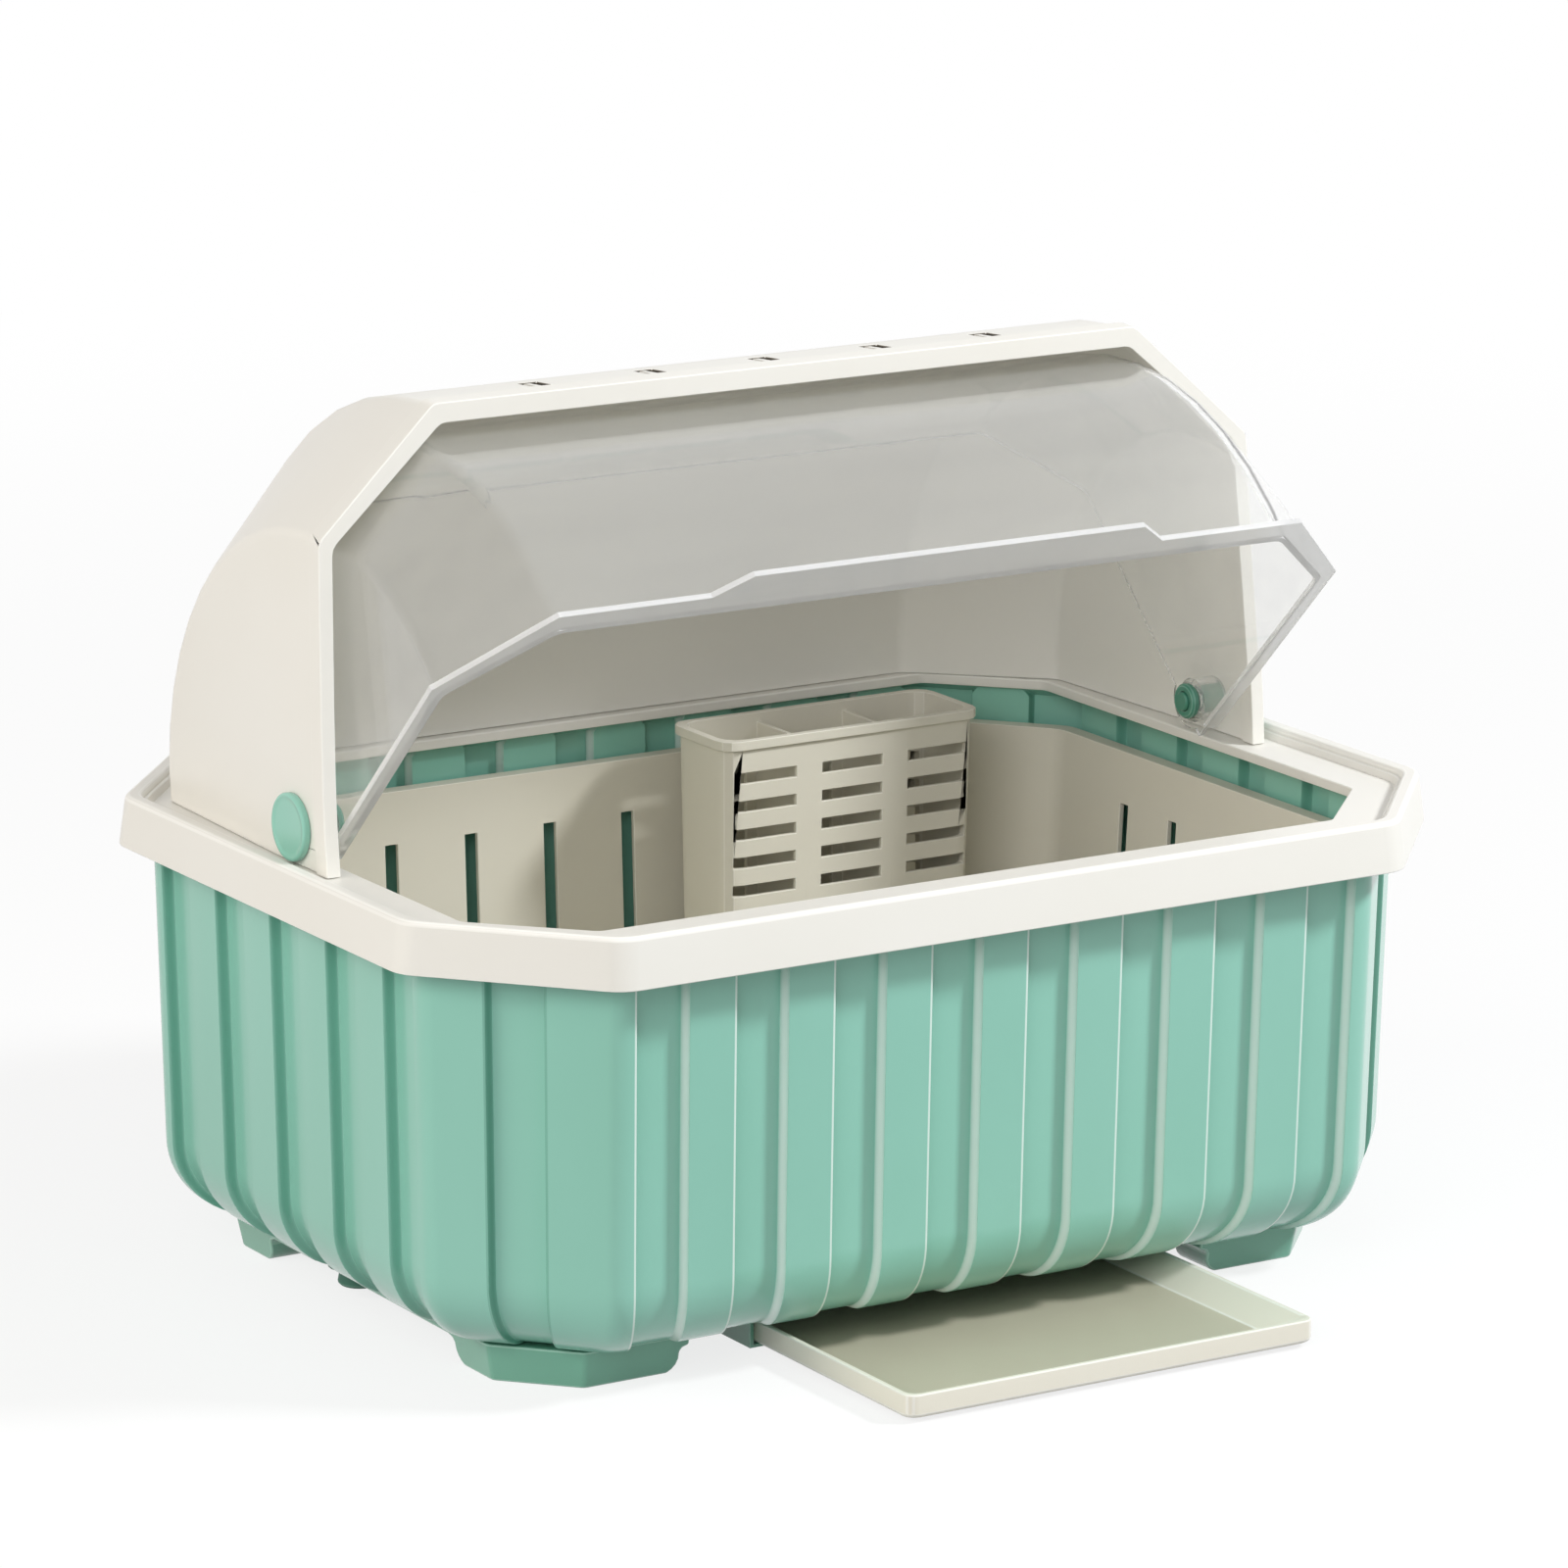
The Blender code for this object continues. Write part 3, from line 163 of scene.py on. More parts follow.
# Moulded plastic: soft colour clouds, faint flow marks, light scuffs, a painted highlight on
# rounded edges, painted light on rib sides and a fine skin
def mouldedPlastic(name, look):
    material, graph, shader, _ = newMaterial(name)
    place = objectPlace(graph)
    clouds = graph.noise(place, look["cloudScale"], detail=3.0).between(*look["cloudRange"])
    streaks = graph.stretched(place, look["flowStretch"])
    flow = graph.noise(streaks, look["flowScale"], detail=4.0).between(*look["flowRange"])
    edge = marked(graph, "edge")
    colour = graph.blend(clouds, solid(look["colour"]), solid(look["deeper"]))
    colour = graph.blend(flow * look["flowShare"], colour, solid(look["paler"]))
    # painted highlight: the rounded edges are paler
    colour = graph.blend(edge * look["edgeHighlightShare"], colour, solid(look["edgeHighlight"]))
    if "riserLightShare" in look:  # rib sides: painted highlight above 0, painted shade below 0
        riser = marked(graph, "riser")
        colour = graph.blend(riser * look["riserLightShare"], colour, solid(look["riserHighlight"]))
        colour = graph.blend(riser * -look["riserLightShare"], colour, solid(look["riserShade"]))
    scratches = graph.stretched(place, look["scuffStretch"])
    scuffs = graph.noise(scratches, look["scuffScale"], detail=5.0, roughness=0.65)
    graph.feed(shader["Base Color"], colour)
    graph.feed(shader["Roughness"], look["roughness"] + (scuffs - 0.5) * look["scuffShare"])
    skin = graph.noise(place, look["skinScale"], detail=2.0)
    waves = graph.noise(place, look["waveScale"], detail=1.0)
    fine = bumped(graph, look["skinStrength"], look["skinDepth"], skin)
    relief = bumped(graph, look["waveStrength"], look["waveDepth"], waves, fine)
    graph.feed(shader["Normal"], relief)
    shader["IOR"].default_value = look["ior"]
    shader["Coat Weight"].default_value = look["coat"]
    shader["Coat Roughness"].default_value = look["coatRoughness"]
    return material


creamLook = {
    "colour": (0.81, 0.795, 0.745),
    "deeper": (0.785, 0.765, 0.705),
    "paler": (0.84, 0.83, 0.79),
    "edgeHighlight": (0.93, 0.925, 0.88),
    "edgeHighlightShare": 0.6,
    "roughness": 0.36,
    "scuffShare": 0.16,
    "scuffScale": 60.0,
    "scuffStretch": (1.0, 1.0, 0.12),
    "cloudScale": 6.0,
    "cloudRange": (0.32, 0.68),
    "flowScale": 9.0,
    "flowStretch": (0.6, 0.6, 2.0),
    "flowRange": (0.3, 0.7),
    "flowShare": 0.35,
    "skinScale": 1500.0,
    "skinStrength": 0.10,
    "skinDepth": 0.0002,
    "waveScale": 45.0,
    "waveStrength": 0.05,
    "waveDepth": 0.0006,
    "ior": 1.49,
    "coat": 0.04,
    "coatRoughness": 0.10,
}
# painted shade: a darker copy of the cream for the basket, holder and rack, which stand in the
# tub's shade
basketLookInShade = creamLook | {
    "colour": (0.72, 0.69, 0.59),
    "deeper": (0.69, 0.66, 0.555),
    "paler": (0.76, 0.74, 0.66),
    "edgeHighlight": (0.86, 0.84, 0.76),
    "roughness": 0.46,
    "coat": 0.0,
}
trayLook = creamLook | {
    "colour": (0.82, 0.785, 0.68),
    "deeper": (0.79, 0.755, 0.645),
    "paler": (0.86, 0.83, 0.75),
    "roughness": 0.32,
}
# painted shade: a darker copy of the tray's plastic for its floor, which lies in the tub's shadow
trayFloorShadeLook = trayLook | {
    "colour": (0.505, 0.470, 0.365),
    "deeper": (0.470, 0.435, 0.330),
    "paler": (0.56, 0.525, 0.43),
}
greenLook = creamLook | {
    "colour": (0.250, 0.555, 0.450),
    "deeper": (0.222, 0.515, 0.405),
    "paler": (0.300, 0.610, 0.515),
    "edgeHighlight": (0.70, 0.88, 0.81),
    "roughness": 0.24,
    "scuffShare": 0.10,
    "flowStretch": (1.0, 1.0, 0.25),
    "flowShare": 0.45,
    "edgeHighlightShare": 0.75,
    "coat": 0.30,
}
# painted light on the rib sides: a pale painted highlight on the long sides, painted shade on the
# short sides and corners
tubLook = greenLook | {
    "riserLightShare": 0.90,
    "riserHighlight": (0.84, 0.93, 0.89),
    "riserShade": (0.100, 0.330, 0.240),
}
# painted shade: a darker copy of the green for the feet and rails, which stand in shade under the
# tub
shadedFootLook = greenLook | {
    "colour": (0.175, 0.450, 0.330),
    "deeper": (0.150, 0.405, 0.290),
    "paler": (0.220, 0.500, 0.385),
    "edgeHighlight": (0.40, 0.68, 0.56),
}
# painted shade: a much darker copy of the green for the pivot clips and shafts, which lie in
# shade inside the hood
shadedClipLook = greenLook | {
    "colour": (0.055, 0.235, 0.160),
    "deeper": (0.045, 0.200, 0.135),
    "paler": (0.090, 0.290, 0.210),
    "edgeHighlight": (0.20, 0.42, 0.33),
}
rubberLook = greenLook | {
    "colour": (0.045, 0.145, 0.105),
    "deeper": (0.035, 0.120, 0.085),
    "paler": (0.070, 0.190, 0.140),
    "edgeHighlight": (0.12, 0.26, 0.20),
    "roughness": 0.62,
    "coat": 0.0,
}
# painted shade: a near-black plastic for the slots' walls and the plates in them, where shade
# falls inside the vents
paintedShadeLook = rubberLook | {
    "colour": (0.050, 0.042, 0.032),
    "deeper": (0.035, 0.030, 0.024),
    "paler": (0.085, 0.072, 0.056),
    "edgeHighlight": (0.16, 0.14, 0.11),
}
creamPlastic = mouldedPlastic("creamPlastic", creamLook)
basketPlastic = mouldedPlastic("basketPlastic", basketLookInShade)
trayPlastic = mouldedPlastic("trayPlastic", trayLook)
dampPlastic = mouldedPlastic("dampPlastic", trayFloorShadeLook)
greenPlastic = mouldedPlastic("greenPlastic", greenLook)
tubPlastic = mouldedPlastic("tubPlastic", tubLook)
footPlastic = mouldedPlastic("footPlastic", shadedFootLook)
clipPlastic = mouldedPlastic("clipPlastic", shadedClipLook)
plugRubber = mouldedPlastic("plugRubber", rubberLook)
ventShade = mouldedPlastic("ventShade", paintedShadeLook)
print("opaque plastics made")


# Clear plastic: glass with faint wipe marks. Lamps and soft light pass it straight.
clearLook = {
    "colour": (0.99, 0.995, 0.99),
    "wiped": (0.95, 0.955, 0.955),
    "roughness": 0.02,
    "wipeShare": 0.05,
    "wipeScale": 70.0,
    "wipeStretch": (0.15, 1.0, 1.0),
    "wipeRange": (0.45, 0.75),
    "waveScale": 18.0,
    "waveStrength": 0.05,
    "waveDepth": 0.0005,
    "ior": 1.49,
    "clarity": 0.91,
    "passed": (0.985, 0.985, 0.985),  # what lamps and soft light keep on their way through
}
rimLook = clearLook | {
    "colour": (0.94, 0.945, 0.95),
    "wiped": (0.90, 0.905, 0.91),
    "roughness": 0.08,
    "waveStrength": 0.0,
    "clarity": 0.45,
}


def clearPlastic(name, look):
    material, graph, shader, output = newMaterial(name)
    place = objectPlace(graph)
    swept = graph.stretched(place, look["wipeStretch"])
    wipes = graph.noise(swept, look["wipeScale"], detail=4.0, roughness=0.6)
    wipes = wipes.between(*look["wipeRange"])
    waves = graph.noise(place, look["waveScale"], detail=1.0)
    colour = graph.blend(wipes, solid(look["colour"]), solid(look["wiped"]))
    graph.feed(shader["Base Color"], colour)
    graph.feed(shader["Roughness"], look["roughness"] + wipes * look["wipeShare"])
    graph.feed(shader["Normal"], bumped(graph, look["waveStrength"], look["waveDepth"], waves))
    shader["IOR"].default_value = look["ior"]
    shader["Transmission Weight"].default_value = look["clarity"]
    rays = graph.node("ShaderNodeLightPath")
    soft = rays.maths("MAXIMUM", rays.out("Is Shadow Ray"), rays.out("Is Diffuse Ray"))
    through = graph.node("ShaderNodeBsdfTransparent", {}, {"Color": solid(look["passed"])})
    shaders = {0: soft, 1: shaderWire(material, graph), 2: through}
    graph.feed(output["Surface"], graph.node("ShaderNodeMixShader", {}, shaders))
    return material


coverPlastic = clearPlastic("coverPlastic", clearLook)
coverRimPlastic = clearPlastic("coverRimPlastic", rimLook)
print("clear plastics made")


# Mesh helpers
def newPiece(name, mesh):
    piece = bpy.data.objects.new(name, mesh)
    bpy.context.scene.collection.objects.link(piece)
    return piece


def meshFrom(form, name):
    mesh = bpy.data.meshes.new(name)
    form.to_mesh(mesh)
    form.free()
    return mesh


def skinned(name, rings):  # a closed skin over rings of equally many points
    form = bmesh.new()
    rows = [[form.verts.new(point) for point in ring] for ring in rings]
    for low, high in zip(rows, rows[1:]):
        for index in range(len(low)):
            after = (index + 1) % len(low)
            form.faces.new((low[index], low[after], high[after], high[index]))
    form.faces.new(rows[0])
    form.faces.new(rows[-1])
    bmesh.ops.recalc_face_normals(form, faces=form.faces)
    return meshFrom(form, name)


def circle(radius, count):
    angles = [2 * pi * index / count for index in range(count)]
    return [(radius * cos(angle), radius * sin(angle)) for angle in angles]


def post(name, place, radius, low, high, sides=48):  # an upright cylinder
    outline = [(place[0] + x, place[1] + y) for x, y in circle(radius, sides)]
    return newPiece(name, skinned(name, [[(x, y, z) for x, y in outline] for z in (low, high)]))


def blocks(name, boxes):  # one mesh of plain boxes, each given by two corners
    form = bmesh.new()
    for (left, front, low), (right, back, high) in boxes:
        outline = ((left, front), (right, front), (right, back), (left, back))
        verts = [form.verts.new((x, y, z)) for z in (low, high) for x, y in outline]
        form.faces.new([verts[index] for index in (3, 2, 1, 0)])
        form.faces.new(verts[4:])
        for index in range(4):
            after = (index + 1) % 4
            form.faces.new([verts[corner] for corner in (index, after, after + 4, index + 4)])
    return meshFrom(form, name)


rounding = {
    "segments": 2,
    "angle": radians(28.0),  # edges that turn more than this are rounded
    "merge": 0.000002,
    "weld": 0.00002,         # joins a CAD node's loose triangles
    "flat": radians(0.6),    # neighbours within this become one face
    "sharp": 38.0,           # degrees, where the shading breaks at an edge
    "weight": 100,           # large faces have all the say in their normals
}


def evaluated(piece):  # the modifiers' result becomes the plain mesh
    ready = bpy.context.evaluated_depsgraph_get()
    result = bpy.data.meshes.new_from_object(piece.evaluated_get(ready))
    piece.modifiers.clear()
    old = piece.data
    piece.data = result
    bpy.data.meshes.remove(old)
    result.name = piece.name
    return result


def finished(piece, angle=rounding["sharp"]):
    result = evaluated(piece)
    result.shade_smooth()
    result.set_sharp_from_angle(angle=radians(angle))
    return piece


def flattened(piece):  # large faces keep flat normals beside their rounded edges
    weights = piece.modifiers.new("flatFaces", "WEIGHTED_NORMAL")
    weights.weight = rounding["weight"]
    weights.keep_sharp = True
    evaluated(piece)
    return piece


def placed(piece, body, slot, *nodes):
    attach(piece, body)
    if nodes:
        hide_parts(*nodes)
    return piece


def merged(mesh, reach, flat=None):  # points on top of each other become one
    form = bmesh.new()
    form.from_mesh(mesh)
    bmesh.ops.remove_doubles(form, verts=form.verts, dist=reach)
    if flat:
        bmesh.ops.dissolve_limit(form, angle_limit=flat, verts=form.verts, edges=form.edges)
    form.to_mesh(mesh)
    form.free()
    return mesh


def bevelled(piece, width, clamped=True):  # rounds the edges and marks them for their painted highlight
    mesh = piece.data
    count = max(1, len(mesh.materials))
    mesh.materials.append(mesh.materials[0] if mesh.materials else None)
    bevel = piece.modifiers.new("edges", "BEVEL")
    bevel.width = width
    bevel.segments = rounding["segments"]
    bevel.limit_method = "ANGLE"
    bevel.angle_limit = rounding["angle"]
    bevel.use_clamp_overlap = clamped
    bevel.material = count
    mesh = merged(finished(piece).data, rounding["merge"])
    marks = [float(face.material_index == count) for face in mesh.polygons]
    mesh.attributes.new("edge", "FLOAT", "FACE").data.foreach_set("value", marks)
    for face in mesh.polygons:
        face.material_index = 0
    mesh.materials.pop(index=len(mesh.materials) - 1)
    return flattened(piece)


def weldedCopy(node, name, material):  # a CAD node's skin without its loose triangles
    mesh = merged(frame["nodes"][node].data.copy(), rounding["weld"], rounding["flat"])
    mesh.name = name
    mesh.materials.clear()
    mesh.materials.append(material)
    return newPiece(name, mesh)


def roundedCopy(node, name, body, slot, material, width, clamped=True):
    piece = bevelled(weldedCopy(node, name, material), width, clamped)
    return placed(piece, body, slot, node)


# Geometry trees
def geometryTree(name, inputs):
    tree = bpy.data.node_groups.new(name, "GeometryNodeTree")
    tree.interface.new_socket("Geometry", in_out="INPUT", socket_type="NodeSocketGeometry")
    tree.interface.new_socket("Geometry", in_out="OUTPUT", socket_type="NodeSocketGeometry")
    for label, kind in inputs.items():
        tree.interface.new_socket(label, in_out="INPUT", socket_type="NodeSocket" + kind)
    graph = Graph(tree)
    return graph, graph.node("NodeGroupInput")


def closeTree(graph, entry, shape):
    real = graph.node("GeometryNodeRealizeInstances", {}, {"Geometry": shape})
    sockets = {"Geometry": real, "Material": entry.out("Material")}
    painted = graph.node("GeometryNodeSetMaterial", {}, sockets)
    graph.node("NodeGroupOutput", {}, {"Geometry": painted})
    return graph.tree


def grow(piece, tree, values):
    modifier = piece.modifiers.new(tree.name, "NODES")
    modifier.node_group = tree
    for item in tree.interface.items_tree:
        if item.in_out == "INPUT" and item.name in values:
            modifier[item.identifier] = values[item.name]
    return piece


def rowTree():  # a copied item in evenly spaced rows, beside what the mesh holds already
    inputs = {"Item": "Object", "Count": "Int", "Start": "Vector", "Step": "Vector"}
    inputs |= {"Rows": "Int", "Row Step": "Vector", "Material": "Material"}
    graph, entry = geometryTree("evenRows", inputs)
    line = {"Count": entry.out("Count"), "Offset": entry.out("Step")}
    line["Start Location"] = entry.out("Start")
    points = graph.node("GeometryNodeMeshLine", {"mode": "OFFSET"}, line)
    item = graph.node("GeometryNodeObjectInfo", {}, {"Object": entry.out("Item")}).out("Geometry")
    row = graph.node("GeometryNodeInstanceOnPoints", {}, {"Points": points, "Instance": item})
    solidRow = graph.node("GeometryNodeRealizeInstances", {}, {"Geometry": row})
    line = {"Count": entry.out("Rows"), "Offset": entry.out("Row Step")}
    starts = graph.node("GeometryNodeMeshLine", {"mode": "OFFSET"}, line)
    spread = {"Points": starts, "Instance": solidRow}
    rows = graph.node("GeometryNodeInstanceOnPoints", {}, spread)
    both = [rows, entry.out("Geometry")]
    joined = graph.node("GeometryNodeJoinGeometry", {}, {"Geometry": both})
    return closeTree(graph, entry, joined)


def ribTree():  # presses upright grooves into a shell along its inward direction
    inputs = {"Groove Depth": "Float", "Groove Share": "Float", "Flank": "Float"}
    inputs["Material"] = "Material"
    graph, entry = geometryTree("pressedGrooves", inputs)
    cell = graph.attribute("cell")
    pitch = graph.attribute("pitch")
    away = abs(cell.maths("FRACT", cell) - 0.5) * pitch
    half = pitch * entry.out("Groove Share") * 0.5 + graph.attribute("widen")
    flank = entry.out("Flank") * 0.5
    mask = away.between(half + flank, half - flank, "SMOOTHSTEP")
    press = mask * graph.attribute("press") * entry.out("Groove Depth")
    sockets = {0: graph.attribute("inward", "FLOAT_VECTOR"), "Scale": press}
    offset = graph.node("ShaderNodeVectorMath", {"operation": "SCALE"}, sockets)
    moved = graph.node("GeometryNodeSetPosition", {}, {"Geometry": entry, "Offset": offset})
    return closeTree(graph, entry, moved)


evenRows = rowTree()
pressedGrooves = ribTree()
print("geometry trees made")


# Camera at the photo's place
photoView = {
    "azimuth": radians(-31.747),
    "elevation": radians(13.756),
    "roll": radians(-0.261),
    "distance": 3.124,
    "target": Vector((0.0, 0.0245, 0.193)),
    "focal": 7872.6,         # in pixels of the 1600 pixel frame
    "frame": 1600.0,
    "shift": (7.4, -2.0),    # pixels
    "sensor": 36.0,          # millimetres
    "reach": 60.0,           # how far the camera sees
}


def buildCamera(view):
    data = bpy.data.cameras.new("photoCamera")
    camera = newPiece("photoCamera", data)
    azimuth, elevation, roll = view["azimuth"], view["elevation"], view["roll"]
    back = Vector((sin(azimuth) * cos(elevation), -cos(azimuth) * cos(elevation), sin(elevation)))
    right = (-back).cross(Vector((0.0, 0.0, 1.0))).normalized()
    up = back.cross(right)
    across = right * cos(roll) - up * sin(roll)
    upwards = right * sin(roll) + up * cos(roll)
    axes = Matrix((across, upwards, back)).transposed()
    camera.rotation_mode = "QUATERNION"
    camera.rotation_quaternion = axes.to_quaternion()
    camera.location = view["target"] + back * view["distance"]
    data.sensor_width = view["sensor"]
    data.lens = view["focal"] * data.sensor_width / view["frame"]
    data.shift_x = view["shift"][0] / view["frame"]
    data.shift_y = view["shift"][1] / view["frame"]
    data.clip_end = view["reach"]
    bpy.context.scene.camera = camera


buildCamera(photoView)
print("camera placed")


# Studio: a pale floor, soft boxes and an even pale sky
studio = {
    "sky": 0.305,
    "floorHalf": 14.0,
    "floorColour": (0.42, 0.42, 0.41),
    "floorPatch": (0.45, 0.45, 0.45),
    "patchScale": 3.0,
    "floorRoughness": 0.9,
    "floorShine": 0.1,
    "floorSeen": (0.95, 0.95, 0.95),
    "floorNear": 0.80,       # share of plain white that the camera sees beside the object
    "floorRange": (0.45, 2.2),
    "lamps": {
        "keyBox": {
            "place": (1.74, -1.45, 1.98),
            "size": (0.42, 0.42),
            "watts": 71.0,
            "tint": (0.97, 0.985, 1.0),
        },
        "windowBox": {
            "place": (-2.39, 0.20, 1.18),
            "size": (1.5, 1.2),
            "watts": 26.5,
            "tint": (1.0, 0.93, 0.85),
        },
        "frontBox": {
            "place": (-1.95, -1.80, 1.45),
            "size": (1.8, 1.3),
            "watts": 28.0,
            "tint": (1.0, 0.99, 0.98),
        },
        "topStrip": {
            "place": (0.1, 1.3, 2.4),
            "size": (2.8, 1.5),
            "watts": 1.0,
            "tint": (1.0, 1.0, 1.0),
        },
    },
}


def lamp(name, place, size, watts, tint):
    data = bpy.data.lights.new(name, "AREA")
    data.shape = "RECTANGLE"
    data.size, data.size_y = size
    data.energy = watts
    data.color = tint
    box = newPiece(name, data)
    box.location = place
    box.visible_glossy = False        # no hard image of a box on the clear cover
    box.visible_transmission = False  # and none through it
    box.rotation_mode = "QUATERNION"
    box.rotation_quaternion = (photoView["target"] - Vector(place)).to_track_quat("-Z", "Y")


def seenRays(graph):  # 1 for the rays that see the background
    rays = graph.node("ShaderNodeLightPath")
    seen = rays.maths("MAXIMUM", rays.out("Is Camera Ray"), rays.out("Is Glossy Ray"))
    return seen.maths("MAXIMUM", seen, rays.out("Is Transmission Ray"))


white = (1.0, 1.0, 1.0, 1.0)


def buildSky(level):
    world = bpy.data.worlds.new("studioSky")
    bpy.context.scene.world = world
    world.use_nodes = True
    graph = Graph(world.node_tree)
    sky = graph.blend(seenRays(graph), (level, level, level, 1.0), white)
    graph.feed(world.node_tree.nodes["Background"].inputs["Color"], sky)


def buildFloor(settings):
    half = settings["floorHalf"]
    corners = [(-half, -half, 0.0), (half, -half, 0.0), (half, half, 0.0), (-half, half, 0.0)]
    mesh = bpy.data.meshes.new("studioFloor")
    mesh.from_pydata(corners, [], [(0, 1, 2, 3)])
    floor = newPiece("studioFloor", mesh)
    material, graph, shader, output = newMaterial("floorPaint")
    place = objectPlace(graph)
    patches = graph.noise(place, settings["patchScale"], detail=2.0)
    paint = graph.blend(patches, solid(settings["floorColour"]), solid(settings["floorPatch"]))
    paint = graph.blend(seenRays(graph), paint, solid(settings["floorSeen"]))
    graph.feed(shader["Base Color"], paint)
    shader["Roughness"].default_value = settings["floorRoughness"]
    shader["Specular IOR Level"].default_value = settings["floorShine"]
    glow = graph.node("ShaderNodeEmission", {}, {"Color": white, "Strength": 1.0})
    away = graph.node("ShaderNodeVectorMath", {"operation": "LENGTH"}, {0: place}, 1)
    fade = away.between(*settings["floorRange"], "SMOOTHSTEP") * (1.0 - settings["floorNear"])
    factor = seenRays(graph) * (fade + settings["floorNear"])
    shaders = {0: factor, 1: shaderWire(material, graph), 2: glow}
    graph.feed(output["Surface"], graph.node("ShaderNodeMixShader", {}, shaders))
    mesh.materials.append(material)


buildSky(studio["sky"])
buildFloor(studio)
for name, facts in studio["lamps"].items():
    lamp(name, **facts)
bpy.context.scene.view_settings.view_transform = "Standard"
print("studio built")


# Outlines: an octagon is half length, half depth and the two lengths of its corner cut
def insetOctagon(outline, distance):
    halfX, halfY, cutX, cutY = outline
    slant = hypot(cutX, cutY)
    vertexY = halfY - cutY - distance * (slant - cutY) / cutX
    vertexX = halfX - cutX - distance * (slant - cutX) / cutY
    insetX, insetY = halfX - distance, halfY - distance
    return (insetX, insetY, insetX - vertexX, insetY - vertexY)


def octagonCorners(outline):
    halfX, halfY, cutX, cutY = outline
    corners = [(halfX - cutX, -halfY), (halfX, cutY - halfY)]
    corners += [(x, -y) for x, y in reversed(corners)]
    corners += [(-x, y) for x, y in reversed(corners)]
    return [Vector(corner) for corner in corners]


def cornerArc(here, before, after, radius, steps):
    back = (before - here).normalized()
    ahead = (after - here).normalized()
    half = back.angle(ahead) / 2
    centre = here + (back + ahead).normalized() * (radius / sin(half))
    first = here + back * (radius / tan(half)) - centre
    last = here + ahead * (radius / tan(half)) - centre
    start = atan2(first.y, first.x)
    turn = (atan2(last.y, last.x) - start + pi) % (2 * pi) - pi
    angles = [start + turn * step / steps for step in range(steps + 1)]
    return [centre + Vector((cos(angle), sin(angle))) * radius for angle in angles]


# Ribbed tub: a smooth eight-sided shell that the pressedGrooves tree ribs
tub = {
    "cut": (0.060, 0.067),   # corner cut of the collar's outline
    "inset": 0.013,          # wall's top inside that outline
    "wall": 0.003,
    "draft": 0.0033,
    "bend": 0.033,
    "bendSteps": 14,
    "corner": 0.012,
    "cornerSteps": 6,
    "floor": 0.016,          # underside of the floor
    "floorReach": 0.012,     # the floor's flat edge past the bend
    "grooves": (             # count, end margin, shift, painted light tone (highlight above 0, shade below 0), first flank's share, lined flanks
        (1, 0.0282, 0.0026, -0.8, 1.0, (-1, 1)),
        (5, 0.00805, 0.0, -0.65, 1.0, ()),
        (1, 0.0282, -0.0026, -0.8, 1.0, (-1, 1)),
        (8, 0.00805, 0.0, 1.0, 0.3, (-1,)),
    ),
    "grooveShare": 0.5,      # of the pitch
    "grooveDepth": 0.005,
    "flank": 0.0014,
    "flankSteps": (-0.5, -0.34, -0.17, 0.0, 0.17, 0.34, 0.5),
    "line": (0.55, 0.12),    # width and soft edge of a flank's painted highlight line, as shares of the flank
    "lineFrom": 0.3,         # where on the flank the painted highlight line starts, from its middle
    "lineTone": 0.72,        # painted highlight of a flank's line, beside a riser's 1
    "innerLine": 0.3,        # the line's width on the inner skin
    "riserPower": 0.45,      # how fast a riser's painted light fades at its edges
    "widen": 0.00225,        # extra half width on the inner skin
    "rimWidth": 0.0062,
    "rimHeight": 0.0026,
    "rimRound": 0.0006,
    "rimGap": 0.0004,        # from the grooves' upper end to the rim
    "outlet": {"place": (0.0115, -0.0175), "bore": 0.022, "wall": 0.0025, "drop": 0.0022},
    "plugBore": {"place": (-0.1832, 0.044), "bore": 0.0111},
    "spoutSink": 0.001,      # from the floor's upper side down to the spout's top
    "boreEnds": 0.01,        # how far the bores' cutters reach past the floor
    "smooth": 50.0,          # degrees
}


def ringRows(settings):  # inset, height, extra half width and groove strength of each ring
    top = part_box("tub")[1].z
    under = top - settings["rimHeight"]
    centreInset = settings["inset"] + settings["draft"] + settings["bend"]
    centreZ = settings["floor"] + settings["bend"]
    wall, steps, soft = settings["wall"], settings["bendSteps"], settings["rimRound"]
    bends = []
    for thickness, widen in ((0.0, 0.0), (wall, settings["widen"])):
        reach = settings["bend"] - thickness
        bend = []
        for angle in (step / steps * pi / 2 for step in range(steps + 1)):
            inset, z = centreInset - reach * sin(angle), centreZ - reach * cos(angle)
            bend.append((inset, z, widen, 1.0))
        bends.append(bend)
    outer = settings["inset"]
    rim = outer - settings["rimWidth"]
    inner = outer + settings["grooveDepth"] + wall
    flatEnd = centreInset + settings["floorReach"]
    rimRows = [(outer, under), (rim + soft, under), (rim, under + soft), (rim, top - soft)]
    rimRows += [(rim + soft, top), (inner - soft, top), (inner, top - soft), (inner, under)]
    rows = [(flatEnd, settings["floor"], 0.0, 0.0)] + bends[0]
    rows.append((outer, under - settings["rimGap"], 0.0, 1.0))
    rows += [(inset, z, 0.0, 0.0) for inset, z in rimRows]
    rows.append((outer + wall, under - wall, settings["widen"], 1.0))
    rows += reversed(bends[1])
    rows.append((flatEnd, settings["floor"] + wall, settings["widen"], 0.0))
    return rows


